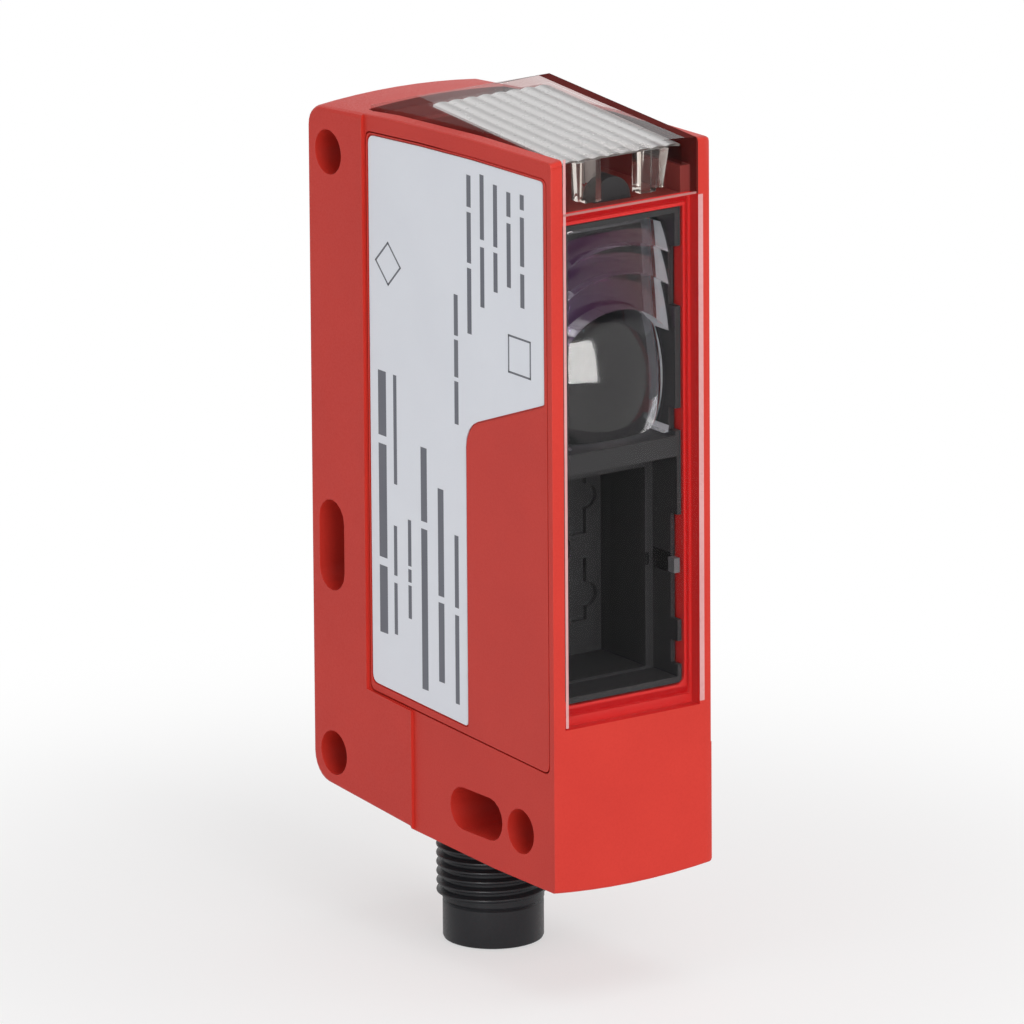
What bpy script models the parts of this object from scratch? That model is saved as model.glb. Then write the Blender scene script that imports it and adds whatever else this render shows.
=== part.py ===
"""Background suppression sensor in a narrow upright housing with an M12 plug.

The origin lies midway between the two rear fixing holes, on the mounting side (+X).
The optics look along -Y, the clear indicator roof is on top and the plug points down.
Lengths are in metres.
"""

import math

import bmesh
import bpy
from mathutils import Matrix, Vector

# Housing, seen from the side.
WIDTH = 0.0205
DEPTH = 0.0440
REAR_REACH = 0.0039
TOP_REAR_Z = 0.0371
TOP_RISE = 0.0021
BASE_REAR_Z = -0.0362
BASE_DROP = 0.00245
BASE_STEP = 0.00025
TOP_CORNER_RADIUS = 0.0024
BASE_CORNER_RADIUS = 0.0030
CROWN = 0.0006
EDGE_RADIUS = 0.0006
WALL = 0.0016

# Raised fixing strip along the rear, which widens into a foot at the base.
STRIP_DEPTH = 0.0101
FOOT_DEPTH = 0.0183
FOOT_TOP_Z = -0.0242
FOOT_SLOPE = 0.073
SIDE_STEP = 0.0003
MOUNT_STEP = 0.00025

# Fixing holes and slots, which pass through from side to side.
HOLE_SPACING = 0.0653
HOLE_DIAMETER = 0.0048
SLOT_WIDTH = 0.0046
REAR_SLOT_Z = -0.0099
REAR_SLOT_LENGTH = 0.0099
FRONT_FIXING_Z = -0.0333
FRONT_HOLE_INSET = 0.0062
FRONT_SLOT_INSET = 0.01425
FRONT_SLOT_LENGTH = 0.0095

# Clear cover: front pane and roof in one piece.
PANE_THICKNESS = 0.0012
PANE_POST = 0.00185
PANE_BOTTOM_Z = -0.0211
PANE_INSET = 0.0001
PANE_RELIEF = 0.0002
PANE_BORDER = 0.0007
ROOF_THICKNESS = 0.0010
RIDGE_REACH = 0.0085
RIDGE_RISE = 0.0019
ROOF_REAR_REACH = 0.0092
ROOF_SEAT_DEPTH = 0.0012
ROOF_REAR_DROP = 0.0010
ROOF_CHEEK = 0.0010

# Bezel and openings behind the clear cover.
BEZEL_THICKNESS = 0.0015
WINDOW_BORDER = 0.0008
WINDOW_BOTTOM_Z = -0.0192
SHELF_Z = 0.0320
SHELF_THICKNESS = 0.0014
COMPARTMENT_BORDER = 0.0011
CAVITY_FLOOR_Z = -0.0285
REAR_WALL_FRONT = 0.0097

# Side cover and its label field.
COVER_THICKNESS = 0.00125
COVER_TOP_MARGIN = 0.0019
COVER_REAR_GAP = 0.0004
COVER_FRONT_RIM = 0.0010
COVER_BASE_REAR_Z = -0.0241
COVER_BASE_DROP = 0.0018
SIDE_OPENING_MARGIN = 0.0018
SIDE_OPENING_CORNER = 0.0005
SIDE_OPENING_BOTTOM_Z = -0.0229
LABEL_THICKNESS = 0.00012
LABEL_RECESS = 0.00025
LABEL_MARGIN = 0.0003
LABEL_BASE_MARGIN = 0.0009
LABEL_SPLIT_INSET = 0.01575
LABEL_NOTCH_Z = 0.0134
LABEL_NOTCH_SLOPE = 0.36
LABEL_NOTCH_RADIUS = 0.0032
LABEL_CORNER = 0.0009

# Black optics frame.
FRAME_BORDER = 0.0007
FRAME_TOP_BORDER = 0.0006
FRAME_HEIGHT_GAP = 0.00015
FRAME_FRONT_GAP = 0.0004
FRAME_FRONT_DEPTH = 0.0044
PARTITION_TOP_Z = 0.0075
PARTITION_BASE_Z = 0.0053
CHAMBER_BORDER = 0.0005
CHAMBER_FLOOR_Z = -0.0184
CHAMBER_CEILING_Z = 0.0034
CHAMBER_STEP = 0.00095
CHAMBER_WALL = 0.0010
CHAMBER_BACK = 0.0012
GROOVE_WIDTH = 0.0014
GROOVE_DEPTH = 0.0005
POCKET_DEPTH = 0.0006
POCKET_HEIGHT = 0.0067
POCKET_OFFSET = 0.0047
POCKET_BULGE = 0.00135
POCKET_BULGE_SHIFT = 0.0006
POCKET_EDGE = 0.00185
NOTCH_WIDTH = 0.0009
NOTCH_DEPTH = 0.0012
NOTCHES = ((0.0213, 0.0277), (0.0080, 0.0104), (-0.0123, -0.0010), (-0.0171, -0.0146))
CARRIER_WALL = 0.0012
CARRIER_BASE_Z = 0.0042
CARRIER_TOP_Z = 0.0307
CARRIER_TOP_LENGTH = 0.0090
SHADE_RADIUS = 0.0023

# Receiver lens, with three rings above a strong central bulge.
LENS_AXIS_Z = 0.0136
LENS_SIDE_GAP = 0.0003
LENS_BOTTOM_Z = 0.0078
LENS_TOP_Z = 0.0310
LENS_BULGE_RADIUS = 0.0120
LENS_FRONT_GAP = 0.0003
LENS_RING_RADII = (0.0082, 0.0119, 0.0149, 0.0176)
LENS_RING_SET = 0.0008
LENS_RING_STEP = 0.0014
LENS_SEAT_GAP = 0.0001

# Emitter.
EMITTER_Z = -0.00655
BARREL_NOSE_DIAMETER = 0.0040
BARREL_FLANGE_DIAMETER = 0.0075
BARREL_FLANGE = 0.0020
BARREL_DIAMETER = 0.0064
BARREL_LENGTH = 0.0101
BARREL_BORE = 0.0032
COLLIMATOR_THICKNESS = 0.0014
DIODE_FLANGE_DIAMETER = 0.0056
DIODE_FLANGE = 0.0012
DIODE_CAN_DIAMETER = 0.0030
DIODE_CAN = 0.0022
DIODE_LEAD_DIAMETER = 0.00045
DIODE_LEAD_CIRCLE = 0.0014

# Circuit boards.
BOARD_THICKNESS = 0.0008
MAIN_BOARD_GAP = 0.00075
MAIN_BOARD_FRONT_INSET = 0.0065
MAIN_BOARD_REAR_GAP = 0.0030
MAIN_BOARD_BOTTOM_Z = -0.0220
MAIN_BOARD_TOP_Z = 0.0312
BOARD_JOINT_GAP = 0.0002
SCREW_BOSS_DIAMETER = 0.0036
SCREW_DIAMETER = 0.0014
SCREW_HEAD_DIAMETER = 0.0028
SCREW_HEAD = 0.0005
SCREW_LENGTH = 0.0060
LOWER_BOSS_INSET = 0.0101
LOWER_BOSS_Z = -0.0212
UPPER_BOSS_REACH = 0.0046
UPPER_BOSS_Z = 0.0298
CHIP_HEIGHT = 0.0010
CHIP_EDGE_GAP = 0.0016
CHIP_SPACING = 0.0022
CONTROLLER_SIZE = 0.0070
CONTROLLER_RISE = 0.0020
REGULATOR_WIDTH = 0.0040
REGULATOR_LENGTH = 0.0048
REGULATOR_RISE = 0.0052
CAPACITOR_COUNT = 2
CAPACITOR_PITCH = 0.0042
CAPACITOR_WIDTH = 0.0030
CAPACITOR_LENGTH = 0.0016
CAPACITOR_HEIGHT = 0.0012
EMITTER_BOARD_HEIGHT = 0.0082
EMITTER_BOARD_DROP = 0.0042
RECEIVER_BOARD_DEPTH = 0.00905
DETECTOR_WIDTH = 0.0050
DETECTOR_LENGTH = 0.0040
DETECTOR_HEIGHT = 0.0012
DETECTOR_WINDOW = 0.0022
DETECTOR_WINDOW_DEPTH = 0.0004
INDICATOR_BOARD_FRONT = 0.0048
INDICATOR_BOARD_REAR = 0.0030
INDICATOR_BOARD_GAP = 0.00055

# Range adjustment: spindle, travelling nut and mirror lever.
SPINDLE_Z = 0.0240
SPINDLE_HEAD_DIAMETER = 0.0049
SPINDLE_HEAD = 0.0024
SPINDLE_HEAD_SINK = 0.0006
SPINDLE_SLOT = 0.0008
SPINDLE_SHAFT_DIAMETER = 0.0032
SPINDLE_THREAD_DIAMETER = 0.0030
SPINDLE_THREAD_DEPTH = 0.0002
THREAD_PITCH = 0.0005
THREAD_LENGTH = 0.0100
SPINDLE_BORE_DEPTH = 0.0049
CLIP_DIAMETER = 0.0050
CLIP_THICKNESS = 0.0005
SEAL_SECTION = 0.0010
NUT_LENGTH = 0.0040
NUT_HEIGHT = 0.0052
NUT_WIDTH = 0.0066
NUT_GROOVE = 0.0025
NUT_GROOVE_DEPTH = 0.0011
NUT_TRAVEL = 0.0020
RAIL_THICKNESS = 0.0010
RAIL_WIDTH = 0.0048
PIVOT_OFFSET = 0.0032
PIVOT_Z = 0.0060
PIVOT_PIN_DIAMETER = 0.0015
HUB_DIAMETER = 0.0036
LEVER_NUT_GAP = 0.00035
LEVER_SIDE_GAP = 0.0003
LEVER_ARM = 0.0010
LEVER_ARM_BREADTH = 0.0030
LEVER_PEG_DIAMETER = 0.0020
MIRROR_THICKNESS = 0.0010
MIRROR_LENGTH = 0.0120
MIRROR_REACH = 0.0051
CARRIER_PLATE = 0.0016
CARRIER_PLATE_TAIL = 0.0016
CARRIER_PLATE_LIP = 0.0004

# Light guide under the roof, and its two indicator lamps.
GUIDE_SIDE_GAP = 0.0006
GUIDE_RIDGE_GAP = 0.0014
GUIDE_THICKNESS = 0.0012
GUIDE_RIBS = 8
GUIDE_RIB_HEIGHT = 0.0005
GUIDE_CROWN = 0.0001
GUIDE_FRONT_INSET = 0.0026
GUIDE_LEG_OFFSET = 0.00345
GUIDE_LEG_WIDTH = 0.0019
GUIDE_LEG_BOTTOM_Z = 0.0339
GUIDE_POST_DIAMETER = 0.0024
LAMP_INSET = 0.0121
LAMP_OFFSET = 0.0034
LAMP_SIZE = 0.0016
LAMP_HEIGHT = 0.0011

# M12 plug.
PLUG_REACH = 0.0184
PLUG_DIAMETER = 0.0120
PLUG_THREAD_DEPTH = 0.0006
PLUG_THREAD_PITCH = 0.0010
PLUG_END_Z = -0.0511
PLUG_COLLAR_DIAMETER = 0.0107
PLUG_COLLAR = 0.0042
PLUG_SHOULDER = 0.00095
PLUG_BORE_DIAMETER = 0.0084
PLUG_SEAT_Z = -0.0369
PLUG_NECK_TOP_Z = -0.0262
PLUG_NUT_WALL = 0.00145
PLUG_NUT_HEIGHT = 0.0018
PLUG_PIN_DIAMETER = 0.0010
PLUG_PIN_CIRCLE = 0.0050
PLUG_PIN_RECESS = 0.0015
PLUG_PIN_TOP_Z = -0.0232
PLUG_SOCKET_DEPTH = 0.0085
PLUG_CARRIER_TOP_Z = -0.0246
PLUG_KEY_WIDTH = 0.0010
PLUG_BOARD_DIAMETER = 0.0092
FLEX_WIDTH = 0.0036
FLEX_THICKNESS = 0.00025
FLEX_BEND = 0.0004
FLEX_RISE = 0.0035

# Clearances.
FIT_GAP = 0.00015
SEAT_GAP = 0.0002
FILM_GAP = 0.00005
OVERSHOOT = 0.0010
LAP = 0.0003

X_LEFT = -WIDTH
X_MID = -WIDTH / 2
X_SIDE = X_LEFT + SIDE_STEP
Y_REAR = REAR_REACH
Y_FRONT = REAR_REACH - DEPTH
FAR = 0.1


def inset(distance):
    """Y of a place this far behind the front face."""
    return Y_FRONT + distance


# Places shared by several pieces.
STRIP_Y = Y_REAR - STRIP_DEPTH
FOOT_Y = Y_REAR - FOOT_DEPTH
PANE_FRONT = inset(PANE_INSET)
PANE_BACK = PANE_FRONT + PANE_THICKNESS
BEZEL_FRONT = PANE_BACK + FIT_GAP
BEZEL_BACK = BEZEL_FRONT + BEZEL_THICKNESS
PANE_WIDTH = WIDTH - 2 * PANE_POST
ROOF_REAR_Y = Y_REAR - ROOF_REAR_REACH
RIDGE_Y = ROOF_REAR_Y - RIDGE_REACH
WINDOW_WIDTH = PANE_WIDTH - 2 * WINDOW_BORDER
COMPARTMENT_WIDTH = PANE_WIDTH - 2 * COMPARTMENT_BORDER
REAR_WALL_Y = Y_REAR - REAR_WALL_FRONT
SHELF_TOP_Z = SHELF_Z + SHELF_THICKNESS
X_COVER = X_SIDE + COVER_THICKNESS
FRAME_FRONT = PANE_BACK + FRAME_FRONT_GAP
FRAME_STEP = FRAME_FRONT + FRAME_FRONT_DEPTH
FRAME_WIDTH = WINDOW_WIDTH - 2 * FIT_GAP
LENS_OPENING_WIDTH = FRAME_WIDTH - 2 * FRAME_BORDER
LENS_WIDTH = LENS_OPENING_WIDTH - 2 * LENS_SIDE_GAP
CHAMBER_WIDTH = FRAME_WIDTH - 2 * CHAMBER_BORDER
CHAMBER_REAR_WIDTH = CHAMBER_WIDTH - 2 * CHAMBER_STEP
FRAME_BOTTOM_Z = WINDOW_BOTTOM_Z + FRAME_HEIGHT_GAP
FRAME_TOP_Z = SHELF_Z - FRAME_HEIGHT_GAP
LENS_BACK = FRAME_STEP - LAP - LENS_SEAT_GAP
X_BOARD = X_COVER + MAIN_BOARD_GAP
X_BOARD_INNER = X_BOARD + BOARD_THICKNESS
CAVITY_LEFT = X_BOARD + LAP
LEVER_CENTRE_Y = REAR_WALL_Y - CLIP_THICKNESS - 2 * SEAT_GAP - NUT_TRAVEL - NUT_LENGTH / 2
LEVER_WIDTH = NUT_WIDTH + 2 * (LEVER_NUT_GAP + LEVER_ARM)
CARRIER_INNER_WIDTH = LEVER_WIDTH + 2 * LEVER_SIDE_GAP
PIVOT_Y = LEVER_CENTRE_Y - PIVOT_OFFSET
MIRROR_Y = PIVOT_Y - MIRROR_REACH
RECEIVER_BOARD_REAR = PIVOT_Y - HUB_DIAMETER / 2 + FIT_GAP
CHAMBER_REAR_FACE = RECEIVER_BOARD_REAR - RECEIVER_BOARD_DEPTH - SEAT_GAP
CHAMBER_BACK_Y = CHAMBER_REAR_FACE - CHAMBER_BACK
MAIN_BOARD_REAR = REAR_WALL_Y - MAIN_BOARD_REAR_GAP
PLUG_Y = Y_REAR - PLUG_REACH
PLUG_NECK_DIAMETER = PLUG_DIAMETER - 2 * PLUG_SHOULDER
LAMP_Y = inset(LAMP_INSET)
LOWER_BOSS = (inset(LOWER_BOSS_INSET), LOWER_BOSS_Z)
UPPER_BOSS = (REAR_WALL_Y - UPPER_BOSS_REACH, UPPER_BOSS_Z)
GUIDE_WIDTH = COMPARTMENT_WIDTH - 2 * GUIDE_SIDE_GAP
GUIDE_SLOPE = math.atan2(RIDGE_RISE, RIDGE_Y - PANE_FRONT)


def rise(y):
    """Share of the top's rise, and of the base's fall, that is reached at y."""
    share = (Y_REAR - y) / DEPTH
    return 1 - (1 - share) ** 2


def top_z(y):
    """Height of the housing's top edge above y."""
    return TOP_REAR_Z + TOP_RISE * rise(y)


def base_z(y):
    """Height of the housing's lower edge at y, with the small step at the foot."""
    step = BASE_STEP if y > FOOT_Y + EDGE_RADIUS else 0
    return BASE_REAR_Z - BASE_DROP * rise(y) + step


def empty_scene():
    for item in list(bpy.data.objects):
        bpy.data.objects.remove(item, do_unlink=True)


def make_collection(name):
    group = bpy.data.collections.new(name)
    bpy.context.scene.collection.children.link(group)
    return group


def make_material(name, colour, roughness, metallic=0.0, transmission=0.0):
    """Principled material with the piece's own colour."""
    material = bpy.data.materials.new(name)
    material.use_nodes = True
    material.diffuse_color = (*colour, 1.0)
    shader = material.node_tree.nodes["Principled BSDF"]
    shader.inputs["Base Color"].default_value = (*colour, 1.0)
    shader.inputs["Roughness"].default_value = roughness
    shader.inputs["Metallic"].default_value = metallic
    shader.inputs["Transmission Weight"].default_value = transmission
    return material


def add_mesh(name, mesh_builder, group):
    """Object at the origin that holds what mesh_builder, a bmesh, contains."""
    mesh = bpy.data.meshes.new(name)
    mesh_builder.to_mesh(mesh)
    mesh_builder.free()
    thing = bpy.data.objects.new(name, mesh)
    group.objects.link(thing)
    return thing


def box(name, x, y, z, group):
    """Block between pairs of coordinates."""
    builder = bmesh.new()
    bmesh.ops.create_cube(builder, size=1.0)
    size = Vector((x[1] - x[0], y[1] - y[0], z[1] - z[0]))
    middle = Vector((sum(x), sum(y), sum(z))) / 2
    bmesh.ops.transform(builder, matrix=Matrix.LocRotScale(middle, None, size), verts=builder.verts)
    return add_mesh(name, builder, group)


def centred(width):
    """Pair of x coordinates that straddles the housing's middle plane."""
    return (X_MID - width / 2, X_MID + width / 2)


AXES = {
    "X": Matrix.Rotation(math.pi / 2, 4, "Y"),
    "Y": Matrix.Rotation(math.pi / 2, 4, "X"),
    "Z": Matrix.Identity(4),
}


def rod(name, axis, centre, span, diameter, group, segments=24):
    """Cylinder along an axis, between two coordinates of that axis."""
    builder = bmesh.new()
    bmesh.ops.create_cone(
        builder,
        cap_ends=True,
        segments=segments,
        radius1=diameter / 2,
        radius2=diameter / 2,
        depth=span[1] - span[0],
    )
    place = Vector(centre)
    place["XYZ".index(axis)] = sum(span) / 2
    matrix = Matrix.Translation(place) @ AXES[axis]
    bmesh.ops.transform(builder, matrix=matrix, verts=builder.verts)
    return add_mesh(name, builder, group)


def bake(thing):
    """Replace a curve or a modified object by the mesh that it evaluates to."""
    bpy.context.view_layer.update()
    graph = bpy.context.evaluated_depsgraph_get()
    mesh = bpy.data.meshes.new_from_object(thing.evaluated_get(graph), depsgraph=graph)
    builder = bmesh.new()
    builder.from_mesh(mesh)
    bmesh.ops.remove_doubles(builder, verts=builder.verts, dist=1e-7)
    bmesh.ops.recalc_face_normals(builder, faces=builder.faces)
    bmesh.ops.transform(builder, matrix=thing.matrix_world, verts=builder.verts)
    name = thing.name
    group = thing.users_collection[0]
    bpy.data.objects.remove(thing, do_unlink=True)
    return add_mesh(name, builder, group)


def plate(name, axis, outline, span, group):
    """Flat outline given in the two other axes, filled and extruded along one axis."""
    curve = bpy.data.curves.new(name, "CURVE")
    curve.dimensions = "2D"
    curve.fill_mode = "BOTH"
    curve.extrude = (span[1] - span[0]) / 2
    spline = curve.splines.new("POLY")
    spline.points.add(len(outline) - 1)
    for point, (across, up) in zip(spline.points, outline):
        point.co = (across, up, 0, 1)
    spline.use_cyclic_u = True
    thing = bpy.data.objects.new(name, curve)
    group.objects.link(thing)
    middle = sum(span) / 2
    thing.matrix_world = {
        "X": Matrix(((0, 0, 1, middle), (1, 0, 0, 0), (0, 1, 0, 0), (0, 0, 0, 1))),
        "Y": Matrix(((1, 0, 0, 0), (0, 0, -1, middle), (0, 1, 0, 0), (0, 0, 0, 1))),
        "Z": Matrix.Translation((0, 0, middle)),
    }[axis]
    solid = bake(thing)
    builder = bmesh.new()
    builder.from_mesh(solid.data)
    bmesh.ops.dissolve_degenerate(builder, dist=1e-7, edges=builder.edges)
    bmesh.ops.dissolve_limit(
        builder, angle_limit=math.radians(0.2), verts=builder.verts, edges=builder.edges
    )
    builder.to_mesh(solid.data)
    builder.free()
    return solid


def turned(name, axis, centre, profile, group, segments=24):
    """Closed profile of (radius, height along the axis) pairs, turned round the axis.

    The profile runs down its outer side, and ends and starts on the axis or closes on itself.
    """
    builder = bmesh.new()
    points = [builder.verts.new((radius, 0, height)) for radius, height in profile]
    pairs = list(zip(points, points[1:]))
    if min(radius for radius, _ in profile) > 0:
        pairs.append((points[-1], points[0]))
    for first, second in pairs:
        builder.edges.new((first, second))
    thing = add_mesh(name, builder, group)
    screw = thing.modifiers.new("turn", "SCREW")
    screw.steps = segments
    screw.render_steps = segments
    screw.use_merge_vertices = True
    screw.merge_threshold = 1e-6
    turn = {
        "X": Matrix.Rotation(math.pi / 2, 4, "Y"),
        "Y": Matrix.Rotation(-math.pi / 2, 4, "X"),
        "-Y": Matrix.Rotation(math.pi / 2, 4, "X"),
        "Z": Matrix.Identity(4),
    }[axis]
    thing.matrix_world = Matrix.Translation(centre) @ turn
    return bake(thing)


def rounded(corners, steps=4):
    """Outline through (across, up, radius) corners, each rounded by an arc."""
    outline = []
    count = len(corners)
    for index, (across, up, radius) in enumerate(corners):
        corner = Vector((across, up))
        if radius <= 0:
            outline.append((across, up))
            continue
        before = (Vector(corners[index - 1][:2]) - corner).normalized()
        after = (Vector(corners[(index + 1) % count][:2]) - corner).normalized()
        half_angle = before.angle(after) / 2
        reach = radius / math.tan(half_angle)
        centre = corner + (before + after).normalized() * (radius / math.sin(half_angle))
        first = corner + before * reach - centre
        last = corner + after * reach - centre
        sweep = first.angle_signed(last)
        for step in range(steps + 1):
            arm = Matrix.Rotation(-sweep * step / steps, 2) @ first
            outline.append(tuple(centre + arm))
    return outline


def stadium(first, second, radius, steps=8):
    """Outline of a slot with round ends about two centres."""
    first = Vector(first)
    second = Vector(second)
    heading = math.atan2(*(second - first).yx)
    outline = []
    for centre, start in ((second, heading - math.pi / 2), (first, heading + math.pi / 2)):
        for step in range(steps + 1):
            angle = start + math.pi * step / steps
            outline.append(tuple(centre + radius * Vector((math.cos(angle), math.sin(angle)))))
    return outline


def combine(target, operation, tools):
    """Add one Boolean modifier for each tool, which stays as a hidden guide."""
    for tool in tools:
        modifier = target.modifiers.new(tool.name, "BOOLEAN")
        modifier.operation = operation
        modifier.solver = "EXACT"
        modifier.object = tool
        tool.hide_render = True
        tool.display_type = "WIRE"


def cut(target, *tools):
    combine(target, "DIFFERENCE", tools)


def join(target, *tools):
    combine(target, "UNION", tools)


def crown_vertices(thing, amount):
    """Arch the top upwards and the base downwards across the housing's width."""
    builder = bmesh.new()
    builder.from_mesh(thing.data)
    stations = 8
    left = min(vertex.co.x for vertex in builder.verts)
    right = max(vertex.co.x for vertex in builder.verts)
    for index in range(1, stations):
        station = Vector((left + (right - left) * index / stations, 0, 0))
        everything = builder.verts[:] + builder.edges[:] + builder.faces[:]
        bmesh.ops.bisect_plane(
            builder, geom=everything, dist=1e-7, plane_co=station, plane_no=(1, 0, 0)
        )
    for vertex in builder.verts:
        share = 1 - ((vertex.co.x - X_MID) / (WIDTH / 2)) ** 2
        vertex.co.z += amount(vertex.co) * share
    builder.to_mesh(thing.data)
    builder.free()


def finish(thing, material, smooth=False):
    """Give a piece its material, and smooth the round faces of a turned piece."""
    thing.data.materials.clear()
    thing.data.materials.append(material)
    if smooth:
        thing.data.shade_smooth()
        thing.data.set_sharp_from_angle(angle=math.radians(35))


def side_profile():
    """Side view of the housing, with round rear corners."""
    toe = FOOT_Y + EDGE_RADIUS
    corners = [(Y_REAR, base_z(Y_REAR), BASE_CORNER_RADIUS), (toe, base_z(toe) + BASE_STEP, 0)]
    corners.append((toe - BASE_STEP, base_z(toe - BASE_STEP), 0))
    corners += [(y, base_z(y), 0) for y in (inset(DEPTH / 4), Y_FRONT)]
    corners += [(y, top_z(y), 0) for y in (Y_FRONT, inset(DEPTH / 3), inset(2 * DEPTH / 3))]
    corners.append((Y_REAR, top_z(Y_REAR), TOP_CORNER_RADIUS))
    return rounded(corners[::-1], steps=6)


def foot_line(y):
    """Height at which the strip widens into the foot."""
    return FOOT_TOP_Z + FOOT_SLOPE * (y - STRIP_Y)


def lower_field(grow):
    """Outline of the side field in front of the strip, above and in front of the foot."""
    return [
        (STRIP_Y - grow, FAR),
        (STRIP_Y - grow, foot_line(STRIP_Y) + grow),
        (FOOT_Y - grow, foot_line(FOOT_Y) + grow),
        (FOOT_Y - grow, -FAR),
        (-FAR, -FAR),
        (-FAR, FAR),
    ]


def upper_field():
    """Outline of the side field above the foot, up to the front."""
    return [
        (STRIP_Y, FAR),
        (STRIP_Y, foot_line(STRIP_Y)),
        (Y_FRONT, foot_line(Y_FRONT) + FOOT_SLOPE * DEPTH / 3),
        (-FAR, foot_line(Y_FRONT) + FOOT_SLOPE * DEPTH / 3),
        (-FAR, FAR),
    ]


COVER_REAR_Y = STRIP_Y - COVER_REAR_GAP
COVER_FRONT_Y = inset(COVER_FRONT_RIM)


def cover_base(y):
    """Lower edge of the side cover, which falls towards the front like the base."""
    share = (COVER_REAR_Y - y) / (COVER_REAR_Y - COVER_FRONT_Y)
    return COVER_BASE_REAR_Z - COVER_BASE_DROP * share


def cover_outline(grow=0.0):
    """Side cover, following the top edge; grow widens it for its recess."""
    rear = COVER_REAR_Y + grow
    front = COVER_FRONT_Y - grow
    radius = 0.0008
    corners = [(rear, cover_base(rear) - grow, radius), (rear, top_z(rear) - COVER_TOP_MARGIN + grow, radius)]
    for share in (0.3, 0.6):
        y = rear + (front - rear) * share
        corners.append((y, top_z(y) - COVER_TOP_MARGIN + grow, 0))
    corners.append((front, top_z(front) - COVER_TOP_MARGIN + grow, radius))
    corners.append((front, cover_base(front) - grow, radius))
    return rounded(corners)


def label_outline(grow=0.0):
    """L-shaped label field: full width above the notch, rear half below it."""
    rear = COVER_REAR_Y - LABEL_MARGIN + grow
    front = COVER_FRONT_Y + 2 * LABEL_MARGIN - grow
    split = inset(LABEL_SPLIT_INSET) - grow
    radius = LABEL_CORNER
    notch_drop = LABEL_NOTCH_SLOPE * (split - front)
    corners = [(rear, cover_base(rear) + LABEL_BASE_MARGIN - grow, radius)]
    corners.append((rear, top_z(rear) - COVER_TOP_MARGIN - LABEL_MARGIN + grow, radius))
    for share in (0.3, 0.6):
        y = rear + (front - rear) * share
        corners.append((y, top_z(y) - COVER_TOP_MARGIN - LABEL_MARGIN + grow, 0))
    corners.append((front, top_z(front) - COVER_TOP_MARGIN - LABEL_MARGIN + grow, radius / 2))
    corners.append((front, LABEL_NOTCH_Z - grow, radius / 2))
    corners.append((split, LABEL_NOTCH_Z - notch_drop - grow, LABEL_NOTCH_RADIUS))
    corners.append((split, cover_base(split) + LABEL_BASE_MARGIN - grow, radius / 2))
    return rounded(corners)


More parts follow.
